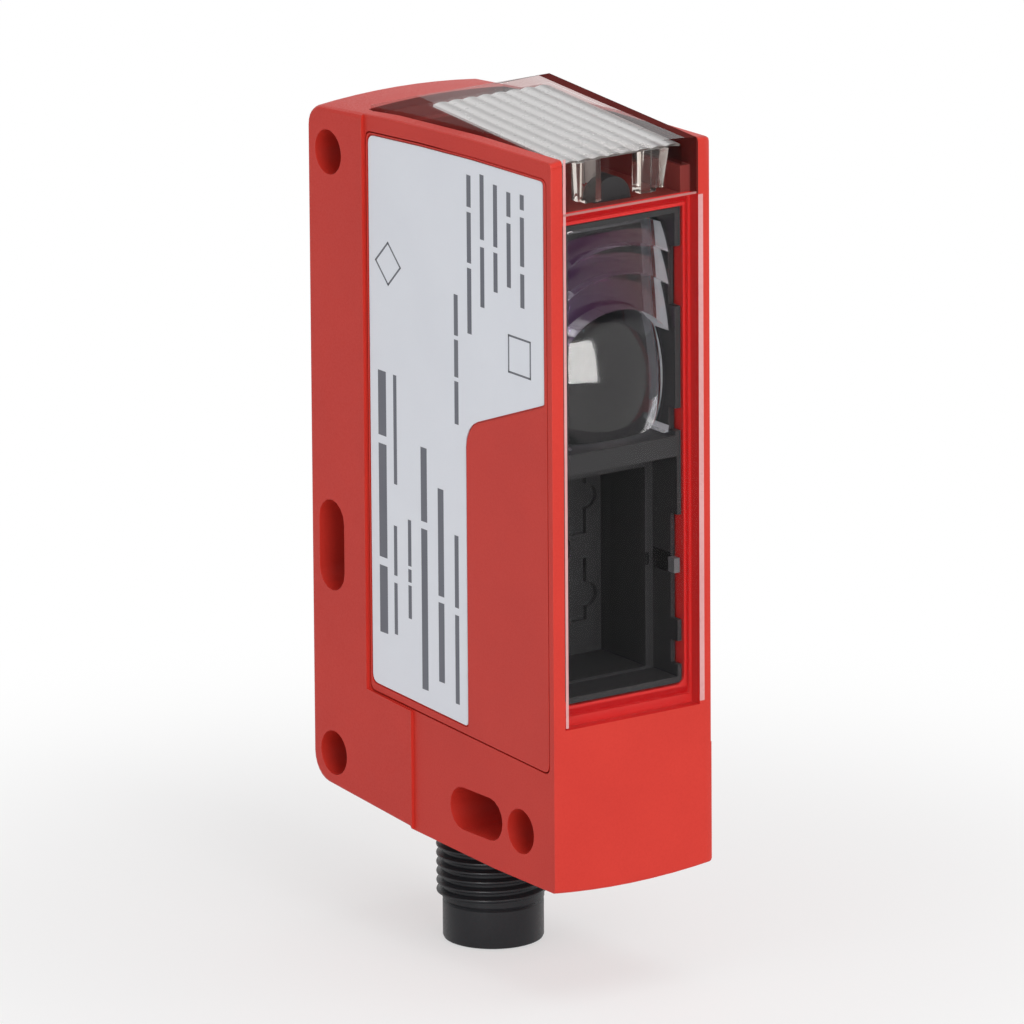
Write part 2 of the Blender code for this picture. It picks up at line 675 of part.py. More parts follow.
def build_housing(parts, guides):
    """Moulded housing: crowned hull, open front and side, shelf, bosses and fixings."""
    housing = plate("housing", "X", side_profile(), (X_LEFT, 0), parts)
    crown_vertices(housing, lambda place: math.copysign(CROWN, place.z))
    bevel = housing.modifiers.new("rounded edges", "BEVEL")
    bevel.width = EDGE_RADIUS
    bevel.segments = 2
    bevel.limit_method = "ANGLE"
    bevel.angle_limit = math.radians(60)
    cut(
        housing,
        plate("side_step", "X", lower_field(0), (X_LEFT - OVERSHOOT, X_SIDE), guides),
        plate("mount_step", "X", upper_field(), (-MOUNT_STEP, OVERSHOOT), guides),
    )

    # Cavity, optics window, shelf and indicator compartment.
    pane_recess = PANE_WIDTH + 2 * FIT_GAP
    cut(
        housing,
        box(
            "cavity",
            (CAVITY_LEFT, -WALL),
            (BEZEL_BACK, REAR_WALL_Y),
            (CAVITY_FLOOR_Z, SHELF_Z),
            guides,
        ),
        box(
            "pane_recess",
            centred(pane_recess),
            (Y_FRONT - OVERSHOOT, BEZEL_FRONT),
            (PANE_BOTTOM_Z - FIT_GAP, FAR),
            guides,
        ),
        box(
            "optics_window",
            centred(WINDOW_WIDTH),
            (BEZEL_FRONT - LAP, BEZEL_BACK + LAP),
            (WINDOW_BOTTOM_Z, SHELF_Z),
            guides,
        ),
        box(
            "compartment",
            centred(COMPARTMENT_WIDTH),
            (BEZEL_FRONT - LAP, ROOF_REAR_Y - ROOF_SEAT_DEPTH),
            (SHELF_TOP_Z, FAR),
            guides,
        ),
        box(
            "roof_seat",
            centred(pane_recess),
            (BEZEL_FRONT - 2 * LAP, ROOF_REAR_Y + FIT_GAP),
            (roof_seat_z(), FAR),
            guides,
        ),
    )

    # Side opening under the side cover.
    opening = rounded(
        [
            (COVER_REAR_Y - SIDE_OPENING_MARGIN, SIDE_OPENING_BOTTOM_Z, SIDE_OPENING_CORNER),
            (COVER_REAR_Y - SIDE_OPENING_MARGIN, SHELF_Z - LAP, SIDE_OPENING_CORNER),
            (BEZEL_BACK, SHELF_Z - LAP, SIDE_OPENING_CORNER),
            (BEZEL_BACK, SIDE_OPENING_BOTTOM_Z, SIDE_OPENING_CORNER),
        ]
    )
    cut(
        housing,
        plate("cover_recess", "X", cover_outline(FIT_GAP), (X_LEFT - OVERSHOOT, X_COVER + FIT_GAP), guides),
        plate("side_opening", "X", opening, (X_LEFT - OVERSHOOT, CAVITY_LEFT + LAP), guides),
    )

    # Screw bosses for the main board and rails that keep the nut from turning.
    boss_tip = X_BOARD_INNER + SEAT_GAP
    for name, (y, z) in (("lower_boss", LOWER_BOSS), ("upper_boss", UPPER_BOSS)):
        boss = rod(name, "X", (0, y, z), (boss_tip, -WALL / 2), SCREW_BOSS_DIAMETER, guides, 16)
        core = rod(
            name + "_core",
            "X",
            (0, y, z),
            (boss_tip - OVERSHOOT, boss_tip + SCREW_LENGTH),
            SCREW_DIAMETER + FIT_GAP,
            guides,
            12,
        )
        join(housing, boss)
        cut(housing, core)
    rail_reach = LEVER_CENTRE_Y - NUT_LENGTH / 2
    for name, side in (("upper_rail", 1), ("lower_rail", -1)):
        near = SPINDLE_Z + side * (NUT_HEIGHT / 2 + SEAT_GAP)
        height = sorted((near, near + side * RAIL_THICKNESS))
        join(housing, box(name, centred(RAIL_WIDTH), (rail_reach, REAR_WALL_Y + LAP), height, guides))

    # Fixing holes and slots.
    through = (X_LEFT - OVERSHOOT, OVERSHOOT)
    slot_half = (REAR_SLOT_LENGTH - SLOT_WIDTH) / 2
    slot = stadium((0, REAR_SLOT_Z - slot_half), (0, REAR_SLOT_Z + slot_half), SLOT_WIDTH / 2)
    front_half = (FRONT_SLOT_LENGTH - SLOT_WIDTH) / 2
    front_y = inset(FRONT_SLOT_INSET)
    front_slot = stadium(
        (front_y - front_half, FRONT_FIXING_Z), (front_y + front_half, FRONT_FIXING_Z), SLOT_WIDTH / 2
    )
    places = {
        "upper_rear_hole": (0, 0, HOLE_SPACING / 2),
        "lower_rear_hole": (0, 0, -HOLE_SPACING / 2),
        "front_hole": (0, inset(FRONT_HOLE_INSET), FRONT_FIXING_Z),
    }
    for name, place in places.items():
        cut(housing, rod(name, "X", place, through, HOLE_DIAMETER, guides, 28))
    cut(housing, plate("rear_slot", "X", slot, through, guides))
    cut(housing, plate("front_slot", "X", front_slot, through, guides))

    # Bores for the spindle and the plug, lamp holes and the slot for the optics shade.
    spindle = (X_MID, 0, SPINDLE_Z)
    plug = (X_MID, PLUG_Y, 0)
    head_bore = SPINDLE_HEAD_DIAMETER + 2 * FIT_GAP
    cut(
        housing,
        rod("head_bore", "Y", spindle, (Y_REAR - SPINDLE_BORE_DEPTH, FAR / 5), head_bore, guides),
        rod(
            "shaft_bore",
            "Y",
            spindle,
            (REAR_WALL_Y - LAP, Y_REAR),
            SPINDLE_SHAFT_DIAMETER + 2 * FIT_GAP,
            guides,
        ),
        rod(
            "plug_bore",
            "Z",
            plug,
            (-FAR, CAVITY_FLOOR_Z + LAP),
            PLUG_NECK_DIAMETER + 2 * FIT_GAP,
            guides,
            28,
        ),
        rod(
            "plug_counterbore",
            "Z",
            plug,
            (-FAR, PLUG_SEAT_Z + SEAL_SECTION + 2 * FILM_GAP),
            PLUG_DIAMETER + 2 * SEAT_GAP,
            guides,
            28,
        ),
        box(
            "shade_slot",
            centred(2 * SHADE_RADIUS + 2 * SEAT_GAP),
            (BEZEL_BACK - FIT_GAP, FRAME_STEP + SEAT_GAP),
            (SHELF_Z - LAP, SHELF_TOP_Z + LAP),
            guides,
        ),
    )
    for name, side in (("left_lamp_hole", -1), ("right_lamp_hole", 1)):
        place = (X_MID + side * LAMP_OFFSET, LAMP_Y, 0)
        span = (SHELF_Z - LAP, SHELF_TOP_Z + LAP)
        cut(housing, rod(name, "Z", place, span, LAMP_SIZE * 1.6, guides, 16))
    finish(housing, make_material("red moulding", (0.52, 0.035, 0.028), 0.5))


def roof_seat_z():
    """Ledge that carries the roof's rear edge and cheeks."""
    return top_z(ROOF_REAR_Y) - ROOF_REAR_DROP / 2 - ROOF_THICKNESS - FIT_GAP


def build_side_cover(parts, guides):
    """Side cover with a shallow field for the label, and the label itself."""
    cover = plate("side_cover", "X", cover_outline(), (X_SIDE, X_COVER), parts)
    field = plate(
        "label_field",
        "X",
        label_outline(FIT_GAP),
        (X_SIDE - OVERSHOOT, X_SIDE + LABEL_RECESS),
        guides,
    )
    cut(cover, field)
    finish(cover, make_material("red cover", (0.48, 0.035, 0.03), 0.5))
    film_back = X_SIDE + LABEL_RECESS - FILM_GAP
    label = plate("type_label", "X", label_outline(), (film_back - LABEL_THICKNESS, film_back), parts)
    finish(label, make_material("label film", (0.56, 0.58, 0.63), 0.35))


def build_window_cover(parts, guides):
    """Clear cover: front pane and ridged roof bent from one section, with closed cheeks."""
    roof_front_z = top_z(Y_FRONT)
    ridge_z = roof_front_z + RIDGE_RISE
    rear_z = top_z(ROOF_REAR_Y) + ROOF_REAR_DROP / 2
    outer = [(PANE_FRONT, PANE_BOTTOM_Z), (PANE_FRONT, roof_front_z), (RIDGE_Y, ridge_z), (ROOF_REAR_Y, rear_z)]
    inner = [
        (ROOF_REAR_Y, rear_z - ROOF_THICKNESS),
        (RIDGE_Y, ridge_z - ROOF_THICKNESS),
        (PANE_BACK, roof_front_z - ROOF_THICKNESS),
        (PANE_BACK, PANE_BOTTOM_Z),
    ]
    sides = centred(PANE_WIDTH)
    cover = plate("window_cover", "X", outer + inner, sides, parts)
    half_run = RIDGE_Y - PANE_FRONT
    crown_vertices(cover, lambda place: CROWN * abs(place.y - RIDGE_Y) / half_run * (place.z > SHELF_Z))
    lap = LAP / 6
    cheek = [
        (PANE_FRONT + lap, roof_seat_z() + FIT_GAP),
        (PANE_FRONT + lap, roof_front_z - lap),
        (RIDGE_Y, ridge_z - lap),
        (ROOF_REAR_Y - lap, rear_z - lap),
        (ROOF_REAR_Y - lap, roof_seat_z() + FIT_GAP),
    ]
    join(
        cover,
        plate("left_cheek", "X", cheek, (sides[0] + lap, sides[0] + ROOF_CHEEK), guides),
        plate("right_cheek", "X", cheek, (sides[1] - ROOF_CHEEK, sides[1] - lap), guides),
    )
    relief_width = PANE_WIDTH - 2 * PANE_BORDER
    relief_height = (PANE_BOTTOM_Z + PANE_BORDER, SHELF_TOP_Z)
    relief_depth = (PANE_FRONT - OVERSHOOT, PANE_FRONT + PANE_RELIEF)
    cut(cover, box("pane_relief", centred(relief_width), relief_depth, relief_height, guides))
    finish(cover, make_material("clear plastic", (0.93, 0.93, 0.93), 0.05, transmission=1.0))


def build_light_guide(parts, guides):
    """Ribbed light guide under the roof, with front legs and a post over each lamp."""
    half = GUIDE_WIDTH / 2
    pitch = GUIDE_WIDTH / GUIDE_RIBS
    ribs = []
    steps = 6
    for index in range(GUIDE_RIBS * steps + 1):
        across = half - GUIDE_WIDTH * index / (GUIDE_RIBS * steps)
        height = GUIDE_RIB_HEIGHT * abs(math.sin(math.pi * (across + half) / pitch))
        arch = GUIDE_CROWN * (1 - (across / half) ** 2)
        ribs.append((X_MID + across, height + arch))
    section = [(X_MID - half, -GUIDE_THICKNESS), (X_MID + half, -GUIDE_THICKNESS)] + ribs
    front_y = inset(GUIDE_FRONT_INSET)
    length = (RIDGE_Y - GUIDE_RIDGE_GAP - front_y) / math.cos(GUIDE_SLOPE)
    guide = plate("light_guide", "Y", section, (0, length), parts)
    roof_z = top_z(Y_FRONT) - ROOF_THICKNESS
    top_gap = GUIDE_RIB_HEIGHT + GUIDE_CROWN + SEAT_GAP
    height = roof_z + (front_y - PANE_FRONT) * math.tan(GUIDE_SLOPE) - top_gap
    turn = Matrix.Translation((0, front_y, height)) @ Matrix.Rotation(GUIDE_SLOPE, 4, "X")
    guide.data.transform(turn)
    leg_depth = (PANE_BACK + 2 * SEAT_GAP, front_y + 2 * LAP)
    tab_depth = (leg_depth[0] + LAP / 3, leg_depth[1] - LAP)
    post_height = (SHELF_TOP_Z + SEAT_GAP, height)
    for name, side in (("left", -1), ("right", 1)):
        middle = X_MID + side * GUIDE_LEG_OFFSET
        leg = (middle - GUIDE_LEG_WIDTH / 2, middle + GUIDE_LEG_WIDTH / 2)
        tab = sorted((leg[side > 0] - side * LAP, leg[side > 0] + side * GUIDE_LEG_WIDTH / 2))
        lamp = (X_MID + side * LAMP_OFFSET, LAMP_Y, 0)
        join(
            guide,
            box(name + "_leg", leg, leg_depth, (GUIDE_LEG_BOTTOM_Z, height - LAP), guides),
            box(name + "_tab", tab, tab_depth, (GUIDE_LEG_BOTTOM_Z + LAP, height - 2 * LAP), guides),
            rod(name + "_post", "Z", lamp, post_height, GUIDE_POST_DIAMETER, guides, 16),
        )
    finish(guide, make_material("light guide", (0.8, 0.8, 0.8), 0.15, transmission=0.7))


def build_optics_frame(parts, guides):
    """Black frame: lens seat above, beam chamber below, cheeks that carry the mirror lever."""
    front = (FRAME_FRONT, FRAME_STEP)
    behind = FRAME_STEP - LAP
    frame = box("optics_frame", centred(FRAME_WIDTH), front, (FRAME_BOTTOM_Z, FRAME_TOP_Z), parts)
    chamber_outer = CHAMBER_REAR_WIDTH + 2 * CHAMBER_WALL
    join(
        frame,
        box(
            "chamber_block",
            centred(chamber_outer),
            (behind, CHAMBER_REAR_FACE),
            (FRAME_BOTTOM_Z + LAP / 10, (PARTITION_BASE_Z + PARTITION_TOP_Z) / 2),
            guides,
        ),
    )
    opening_top = FRAME_TOP_Z - FRAME_TOP_BORDER
    cut(
        frame,
        box(
            "lens_opening",
            centred(LENS_OPENING_WIDTH),
            (FRAME_FRONT - OVERSHOOT, FRAME_STEP + LAP),
            (PARTITION_TOP_Z, opening_top),
            guides,
        ),
        box(
            "chamber_front",
            centred(CHAMBER_WIDTH),
            (FRAME_FRONT - OVERSHOOT, FRAME_STEP),
            (CHAMBER_FLOOR_Z, PARTITION_BASE_Z),
            guides,
        ),
        box(
            "chamber_rear",
            centred(CHAMBER_REAR_WIDTH),
            (FRAME_STEP - LAP, CHAMBER_BACK_Y),
            (CHAMBER_FLOOR_Z + LAP, CHAMBER_CEILING_Z),
            guides,
        ),
    )

    # Cheeks behind the lens, which taper back to the lever's pivot.
    hub_reach = HUB_DIAMETER / 2 + LAP
    taper = [
        (behind, CARRIER_BASE_Z),
        (behind, CARRIER_TOP_Z),
        (FRAME_STEP + CARRIER_TOP_LENGTH, CARRIER_TOP_Z),
        (PIVOT_Y + hub_reach, PIVOT_Z + HUB_DIAMETER),
        (PIVOT_Y + hub_reach, CARRIER_BASE_Z),
    ]
    inner = CARRIER_INNER_WIDTH / 2
    for name, side in (("left_cheek_plate", -1), ("right_cheek_plate", 1)):
        span = sorted((X_MID + side * inner, X_MID + side * (inner + CARRIER_WALL)))
        join(frame, plate(name, "X", taper, span, guides))
    outer = CARRIER_INNER_WIDTH + 2 * CARRIER_WALL - LAP / 3
    join(
        frame,
        box(
            "tunnel_roof",
            centred(outer),
            (behind, FRAME_STEP + CARRIER_TOP_LENGTH - LAP),
            (CARRIER_TOP_Z - CARRIER_WALL, CARRIER_TOP_Z - LAP / 6),
            guides,
        ),
    )

    # Rounded shade that rises through the shelf between the light guide's legs.
    shade_depth = (BEZEL_BACK + SEAT_GAP, FRAME_STEP - FIT_GAP)
    shade_z = SHELF_TOP_Z + SEAT_GAP
    join(
        frame,
        box("shade_foot", centred(2 * SHADE_RADIUS), shade_depth, (FRAME_TOP_Z - LAP, shade_z), guides),
        rod(
            "shade_round",
            "Y",
            (X_MID, 0, shade_z - LAP / 6),
            (shade_depth[0] + LAP / 6, shade_depth[1] - LAP / 6),
            2 * SHADE_RADIUS - LAP / 6,
            guides,
        ),
    )

    # Seat for the emitter barrel, and the two keyhole pockets beside it.
    emitter = (X_MID, 0, EMITTER_Z)
    cut(
        frame,
        rod(
            "emitter_hole",
            "Y",
            emitter,
            (CHAMBER_BACK_Y - OVERSHOOT, CHAMBER_REAR_FACE + OVERSHOOT),
            BARREL_NOSE_DIAMETER + 2 * FIT_GAP,
            guides,
        ),
        box(
            "alignment_groove",
            (X_MID + CHAMBER_REAR_WIDTH / 2 - LAP, X_MID + CHAMBER_REAR_WIDTH / 2 + GROOVE_DEPTH),
            (FRAME_STEP - LAP, CHAMBER_BACK_Y - GROOVE_WIDTH),
            (EMITTER_Z - GROOVE_WIDTH / 2, EMITTER_Z + GROOVE_WIDTH / 2),
            guides,
        ),
    )
    pocket_edge = X_MID + CHAMBER_REAR_WIDTH / 2 - POCKET_EDGE
    pocket_x = (X_MID + BARREL_NOSE_DIAMETER / 2 + LAP, pocket_edge)
    pocket_y = (CHAMBER_BACK_Y - OVERSHOOT, CHAMBER_BACK_Y + POCKET_DEPTH)
    for name, side in (("upper_pocket", 1), ("lower_pocket", -1)):
        middle = EMITTER_Z + side * POCKET_OFFSET
        span = (middle - POCKET_HEIGHT / 2, middle + POCKET_HEIGHT / 2)
        bulge = (pocket_x[1], 0, middle + side * POCKET_BULGE_SHIFT)
        cut(
            frame,
            box(name, pocket_x, pocket_y, span, guides),
            rod(name + "_bulge", "Y", bulge, pocket_y, 2 * POCKET_BULGE, guides, 20),
        )

    # Notches in the right edge, where the frame's clips let the housing show.
    edge = X_MID + FRAME_WIDTH / 2
    for index, span in enumerate(NOTCHES, start=1):
        depth = (FRAME_FRONT - OVERSHOOT, FRAME_FRONT + NOTCH_DEPTH)
        across = (edge - NOTCH_WIDTH, edge + OVERSHOOT)
        cut(frame, box(f"clip_notch_{index}", across, depth, span, guides))

    # Bores for the lever's pin.
    pin_span = (X_MID - WIDTH / 2, X_MID + WIDTH / 2)
    pin_hole = PIVOT_PIN_DIAMETER + 2 * FIT_GAP
    cut(frame, rod("pivot_bore", "X", (0, PIVOT_Y, PIVOT_Z), pin_span, pin_hole, guides, 16))
    finish(frame, make_material("black moulding", (0.022, 0.023, 0.025), 0.55))


def lens_profile():
    """Half section of the lens as (radius, distance in front of its flat back)."""
    reach = LENS_BACK - (PANE_BACK + LENS_FRONT_GAP)
    outer = LENS_RING_RADII[-1]
    profile = [(0, 0), (outer, 0)]
    ring_front = reach - LENS_RING_SET
    for near, far in list(zip(LENS_RING_RADII, LENS_RING_RADII[1:]))[::-1]:
        profile += [(far, ring_front - LENS_RING_STEP), (near, ring_front)]
    edge = LENS_RING_RADII[0]
    steps = 10
    for step in range(steps + 1):
        radius = edge * (1 - step / steps)
        sag = LENS_BULGE_RADIUS - math.sqrt(LENS_BULGE_RADIUS**2 - radius**2)
        profile.append((radius, reach - sag))
    return profile


def build_receiver_lens(parts, guides):
    """Stepped lens turned about its optical axis, then trimmed to the opening."""
    centre = (X_MID, LENS_BACK, LENS_AXIS_Z)
    lens = turned("receiver_lens", "-Y", centre, lens_profile()[::-1], parts, segments=64)
    trim = box(
        "lens_trim",
        centred(LENS_WIDTH),
        (-FAR, FAR),
        (LENS_BOTTOM_Z, LENS_TOP_Z),
        guides,
    )
    combine(lens, "INTERSECT", [trim])
    finish(lens, make_material("lens plastic", (0.95, 0.95, 0.97), 0.02, transmission=1.0), smooth=True)


def build_emitter(parts, guides):
    """Barrel in the chamber's back wall, with its collimator, diode and small board."""
    axis = (X_MID, 0, EMITTER_Z)
    nose = CHAMBER_BACK_Y
    flange = CHAMBER_REAR_FACE + SEAT_GAP
    end = nose + BARREL_LENGTH
    diode_seat = end - DIODE_FLANGE - SEAT_GAP
    bore = BARREL_BORE / 2 + FIT_GAP
    pocket = DIODE_FLANGE_DIAMETER / 2 + FIT_GAP
    profile = [
        (bore, nose),
        (BARREL_NOSE_DIAMETER / 2, nose),
        (BARREL_NOSE_DIAMETER / 2, flange),
        (BARREL_FLANGE_DIAMETER / 2, flange),
        (BARREL_FLANGE_DIAMETER / 2, flange + BARREL_FLANGE),
        (BARREL_DIAMETER / 2, flange + BARREL_FLANGE),
        (BARREL_DIAMETER / 2, end),
        (pocket, end),
        (pocket, diode_seat),
        (bore, diode_seat),
    ]
    barrel = turned("emitter_barrel", "Y", axis, profile[::-1], parts)
    finish(barrel, make_material("barrel", (0.03, 0.03, 0.032), 0.4, 0.6), smooth=True)

    lens_back = nose + FIT_GAP + COLLIMATOR_THICKNESS
    rim = BARREL_BORE / 2
    bulge = COLLIMATOR_THICKNESS / 2
    dome = [(rim * math.cos(a), nose + FIT_GAP + bulge * (1 - math.sin(a))) for a in (0, 0.5, 1.0)]
    profile = [(0, lens_back), (rim, lens_back)] + dome + [(0, nose + FIT_GAP)]
    lens = turned("collimator_lens", "Y", axis, profile, parts, segments=20)
    finish(lens, make_material("coated glass", (0.75, 0.78, 0.95), 0.02, transmission=1.0), smooth=True)

    can = DIODE_CAN_DIAMETER / 2
    seat = diode_seat + FIT_GAP
    base = seat + DIODE_FLANGE
    profile = [(0, base), (DIODE_FLANGE_DIAMETER / 2, base), (DIODE_FLANGE_DIAMETER / 2, seat), (can, seat)]
    profile += [(can, seat - DIODE_CAN), (0, seat - DIODE_CAN)]
    diode = turned("emitter_diode", "Y", axis, profile, parts)
    board_y = (end + 2 * SEAT_GAP, end + 2 * SEAT_GAP + BOARD_THICKNESS)
    board = box(
        "emitter_board",
        (X_BOARD_INNER + BOARD_JOINT_GAP, X_MID + BARREL_DIAMETER / 2 + OVERSHOOT),
        board_y,
        (EMITTER_Z - EMITTER_BOARD_DROP, EMITTER_Z - EMITTER_BOARD_DROP + EMITTER_BOARD_HEIGHT),
        parts,
    )
    for index in range(3):
        angle = math.radians(90 + 120 * index)
        place = Vector(axis) + DIODE_LEAD_CIRCLE * Vector((math.cos(angle), 0, math.sin(angle)))
        span = (base - LAP, board_y[1] + 2 * LAP)
        lead = rod(f"diode_lead_{index}", "Y", place, span, DIODE_LEAD_DIAMETER, guides, 8)
        join(diode, lead)
        hole = (board_y[0] - LAP, board_y[1] + LAP)
        width = DIODE_LEAD_DIAMETER + 2 * FIT_GAP
        cut(board, rod(f"lead_hole_{index}", "Y", place, hole, width, guides, 8))
    finish(diode, make_material("diode metal", (0.75, 0.66, 0.42), 0.3, 1.0), smooth=True)
    finish(board, make_material("emitter board", (0.02, 0.16, 0.07), 0.5))


def lever_tip():
    """Place of the lever's pegs, in the nut's grooves."""
    return (LEVER_CENTRE_Y, SPINDLE_Z)


def move_origin(thing, place):
    """Put an object's origin on its joint's axis without moving its mesh in the world."""
    thing.data.transform(Matrix.Translation(-Vector(place)))
    thing.location = place


def build_lever(parts, guides):
    """Forked mirror lever on its pin, and the mirror on its sloping face."""
    half = LEVER_WIDTH / 2
    pivot = (PIVOT_Y, PIVOT_Z)
    lever = rod("mirror_lever", "X", (0, *pivot), centred(LEVER_WIDTH), HUB_DIAMETER, parts, 20)
    arm = stadium(pivot, lever_tip(), LEVER_ARM_BREADTH / 2, steps=6)
    for name, side in (("left_arm", -1), ("right_arm", 1)):
        outer = X_MID + side * (half - LAP / 6)
        arm_span = sorted((outer, outer - side * LEVER_ARM))
        peg_in = X_MID + side * (NUT_WIDTH / 2 - NUT_GROOVE_DEPTH + FIT_GAP)
        peg_span = sorted((peg_in, outer - side * LEVER_ARM / 2))
        join(
            lever,
            plate(name, "X", arm, arm_span, guides),
            rod(name + "_peg", "X", (0, *lever_tip()), peg_span, LEVER_PEG_DIAMETER, guides, 14),
        )
    centre = Vector((X_MID, MIRROR_Y, LENS_AXIS_Z))
    back = Vector((0, 1, 1)).normalized()
    slope = Matrix.Rotation(math.radians(-45), 4, "X")
    depth = MIRROR_THICKNESS + FIT_GAP
    carrier = box(
        "mirror_carrier",
        (-half + LAP / 3, half - LAP / 3),
        (depth, depth + CARRIER_PLATE),
        (-MIRROR_LENGTH / 2 - CARRIER_PLATE_TAIL, MIRROR_LENGTH / 2 + CARRIER_PLATE_LIP),
        guides,
    )
    carrier.data.transform(Matrix.Translation(centre) @ slope.inverted())
    join(lever, carrier)
    bore = PIVOT_PIN_DIAMETER + 2 * FIT_GAP
    cut(lever, rod("hub_bore", "X", (0, *pivot), centred(WIDTH), bore, guides, 16))
    finish(lever, make_material("lever plastic", (0.03, 0.03, 0.03), 0.5))

    mirror_half = half - LEVER_ARM - SEAT_GAP
    mirror = box(
        "receiver_mirror",
        (-mirror_half, mirror_half),
        (0, MIRROR_THICKNESS),
        (-MIRROR_LENGTH / 2, MIRROR_LENGTH / 2),
        parts,
    )
    mirror.data.transform(Matrix.Translation(centre) @ slope.inverted())
    finish(mirror, make_material("mirror", (0.9, 0.9, 0.9), 0.03, 1.0))
    pin_span = centred(CARRIER_INNER_WIDTH + 2 * CARRIER_WALL + 2 * FIT_GAP)
    pin = rod("lever_pin", "X", (0, *pivot), pin_span, PIVOT_PIN_DIAMETER, parts, 16)
    finish(pin, make_material("steel pin", (0.6, 0.6, 0.6), 0.3, 1.0), smooth=True)
    for thing in (lever, mirror):
        move_origin(thing, (X_MID, *pivot))


def build_spindle(parts, guides):
    """Captive slotted spindle, its clip and seal, and the nut that it drives."""
    axis = (X_MID, 0, SPINDLE_Z)
    head_end = Y_REAR - SPINDLE_HEAD_SINK
    head_start = head_end - SPINDLE_HEAD
    seal_end = head_start - SEAL_SECTION - 2 * FIT_GAP
    clip_start = REAR_WALL_Y - SEAT_GAP - CLIP_THICKNESS
    thread_start = clip_start - SEAT_GAP
    head = SPINDLE_HEAD_DIAMETER / 2
    shaft = SPINDLE_SHAFT_DIAMETER / 2
    neck = shaft - SPINDLE_THREAD_DEPTH / 2
    crest = SPINDLE_THREAD_DIAMETER / 2
    root = crest - SPINDLE_THREAD_DEPTH
    profile = [(0, head_end), (head, head_end), (head, head_start), (neck, head_start), (neck, seal_end)]
    profile += [(shaft, seal_end), (shaft, REAR_WALL_Y), (neck, REAR_WALL_Y), (neck, thread_start)]
    turns = round(THREAD_LENGTH / THREAD_PITCH)
    for turn in range(turns):
        start = thread_start - turn * THREAD_PITCH
        profile += [(root, start - THREAD_PITCH * 0.1), (crest, start - THREAD_PITCH * 0.6)]
    end = thread_start - turns * THREAD_PITCH
    profile += [(root, end), (0, end)]
    spindle = turned("range_spindle", "Y", axis, profile, parts, segments=16)
    slot = box(
        "driver_slot",
        (X_MID - SPINDLE_SLOT / 2, X_MID + SPINDLE_SLOT / 2),
        (head_end - 1.4 * SPINDLE_SLOT, head_end + OVERSHOOT),
        (SPINDLE_Z - head - OVERSHOOT, SPINDLE_Z + head + OVERSHOOT),
        guides,
    )
    cut(spindle, slot)
    finish(spindle, make_material("spindle brass", (0.72, 0.55, 0.25), 0.3, 1.0), smooth=True)

    inner = neck + FIT_GAP / 2
    outer = CLIP_DIAMETER / 2
    clip_end = clip_start + CLIP_THICKNESS
    ring = [(outer, clip_end), (outer, clip_start), (inner, clip_start), (inner, clip_end)]
    clip = turned("spindle_clip", "Y", axis, ring, parts)
    finish(clip, make_material("clip steel", (0.35, 0.35, 0.36), 0.35, 1.0), smooth=True)

    seal_y = (head_start + seal_end) / 2
    seal = ring_seal("spindle_seal", "Y", (X_MID, seal_y, SPINDLE_Z), neck + FILM_GAP, parts)
    finish(seal, make_material("spindle rubber", (0.02, 0.02, 0.02), 0.7), smooth=True)

    middle = LEVER_CENTRE_Y
    nut_y = (middle - NUT_LENGTH / 2, middle + NUT_LENGTH / 2)
    nut_z = (SPINDLE_Z - NUT_HEIGHT / 2, SPINDLE_Z + NUT_HEIGHT / 2)
    nut = box("adjusting_nut", centred(NUT_WIDTH), nut_y, nut_z, parts)
    bore = SPINDLE_THREAD_DIAMETER + 2 * FIT_GAP
    cut(nut, rod("nut_bore", "Y", axis, (nut_y[0] - LAP, nut_y[1] + LAP), bore, guides, 20))
    for name, side in (("left_groove", -1), ("right_groove", 1)):
        face = X_MID + side * NUT_WIDTH / 2
        span = sorted((face - side * NUT_GROOVE_DEPTH, face + side * OVERSHOOT))
        groove_y = (middle - NUT_GROOVE / 2, middle + NUT_GROOVE / 2)
        cut(nut, box(name, span, groove_y, (nut_z[0] - LAP, nut_z[1] + LAP), guides))
    finish(nut, make_material("nut plastic", (0.75, 0.74, 0.7), 0.4))
    for thing in (spindle, clip, nut):
        move_origin(thing, axis)


def ring_seal(name, axis, centre, inner_radius, group):
    """O-ring with a round section."""
    section = SEAL_SECTION / 2
    middle = inner_radius + section
    steps = 8
    profile = []
    for step in range(steps):
        angle = 2 * math.pi * step / steps
        profile.append((middle + section * math.cos(angle), -section * math.sin(angle)))
    return turned(name, axis, centre, profile, group)


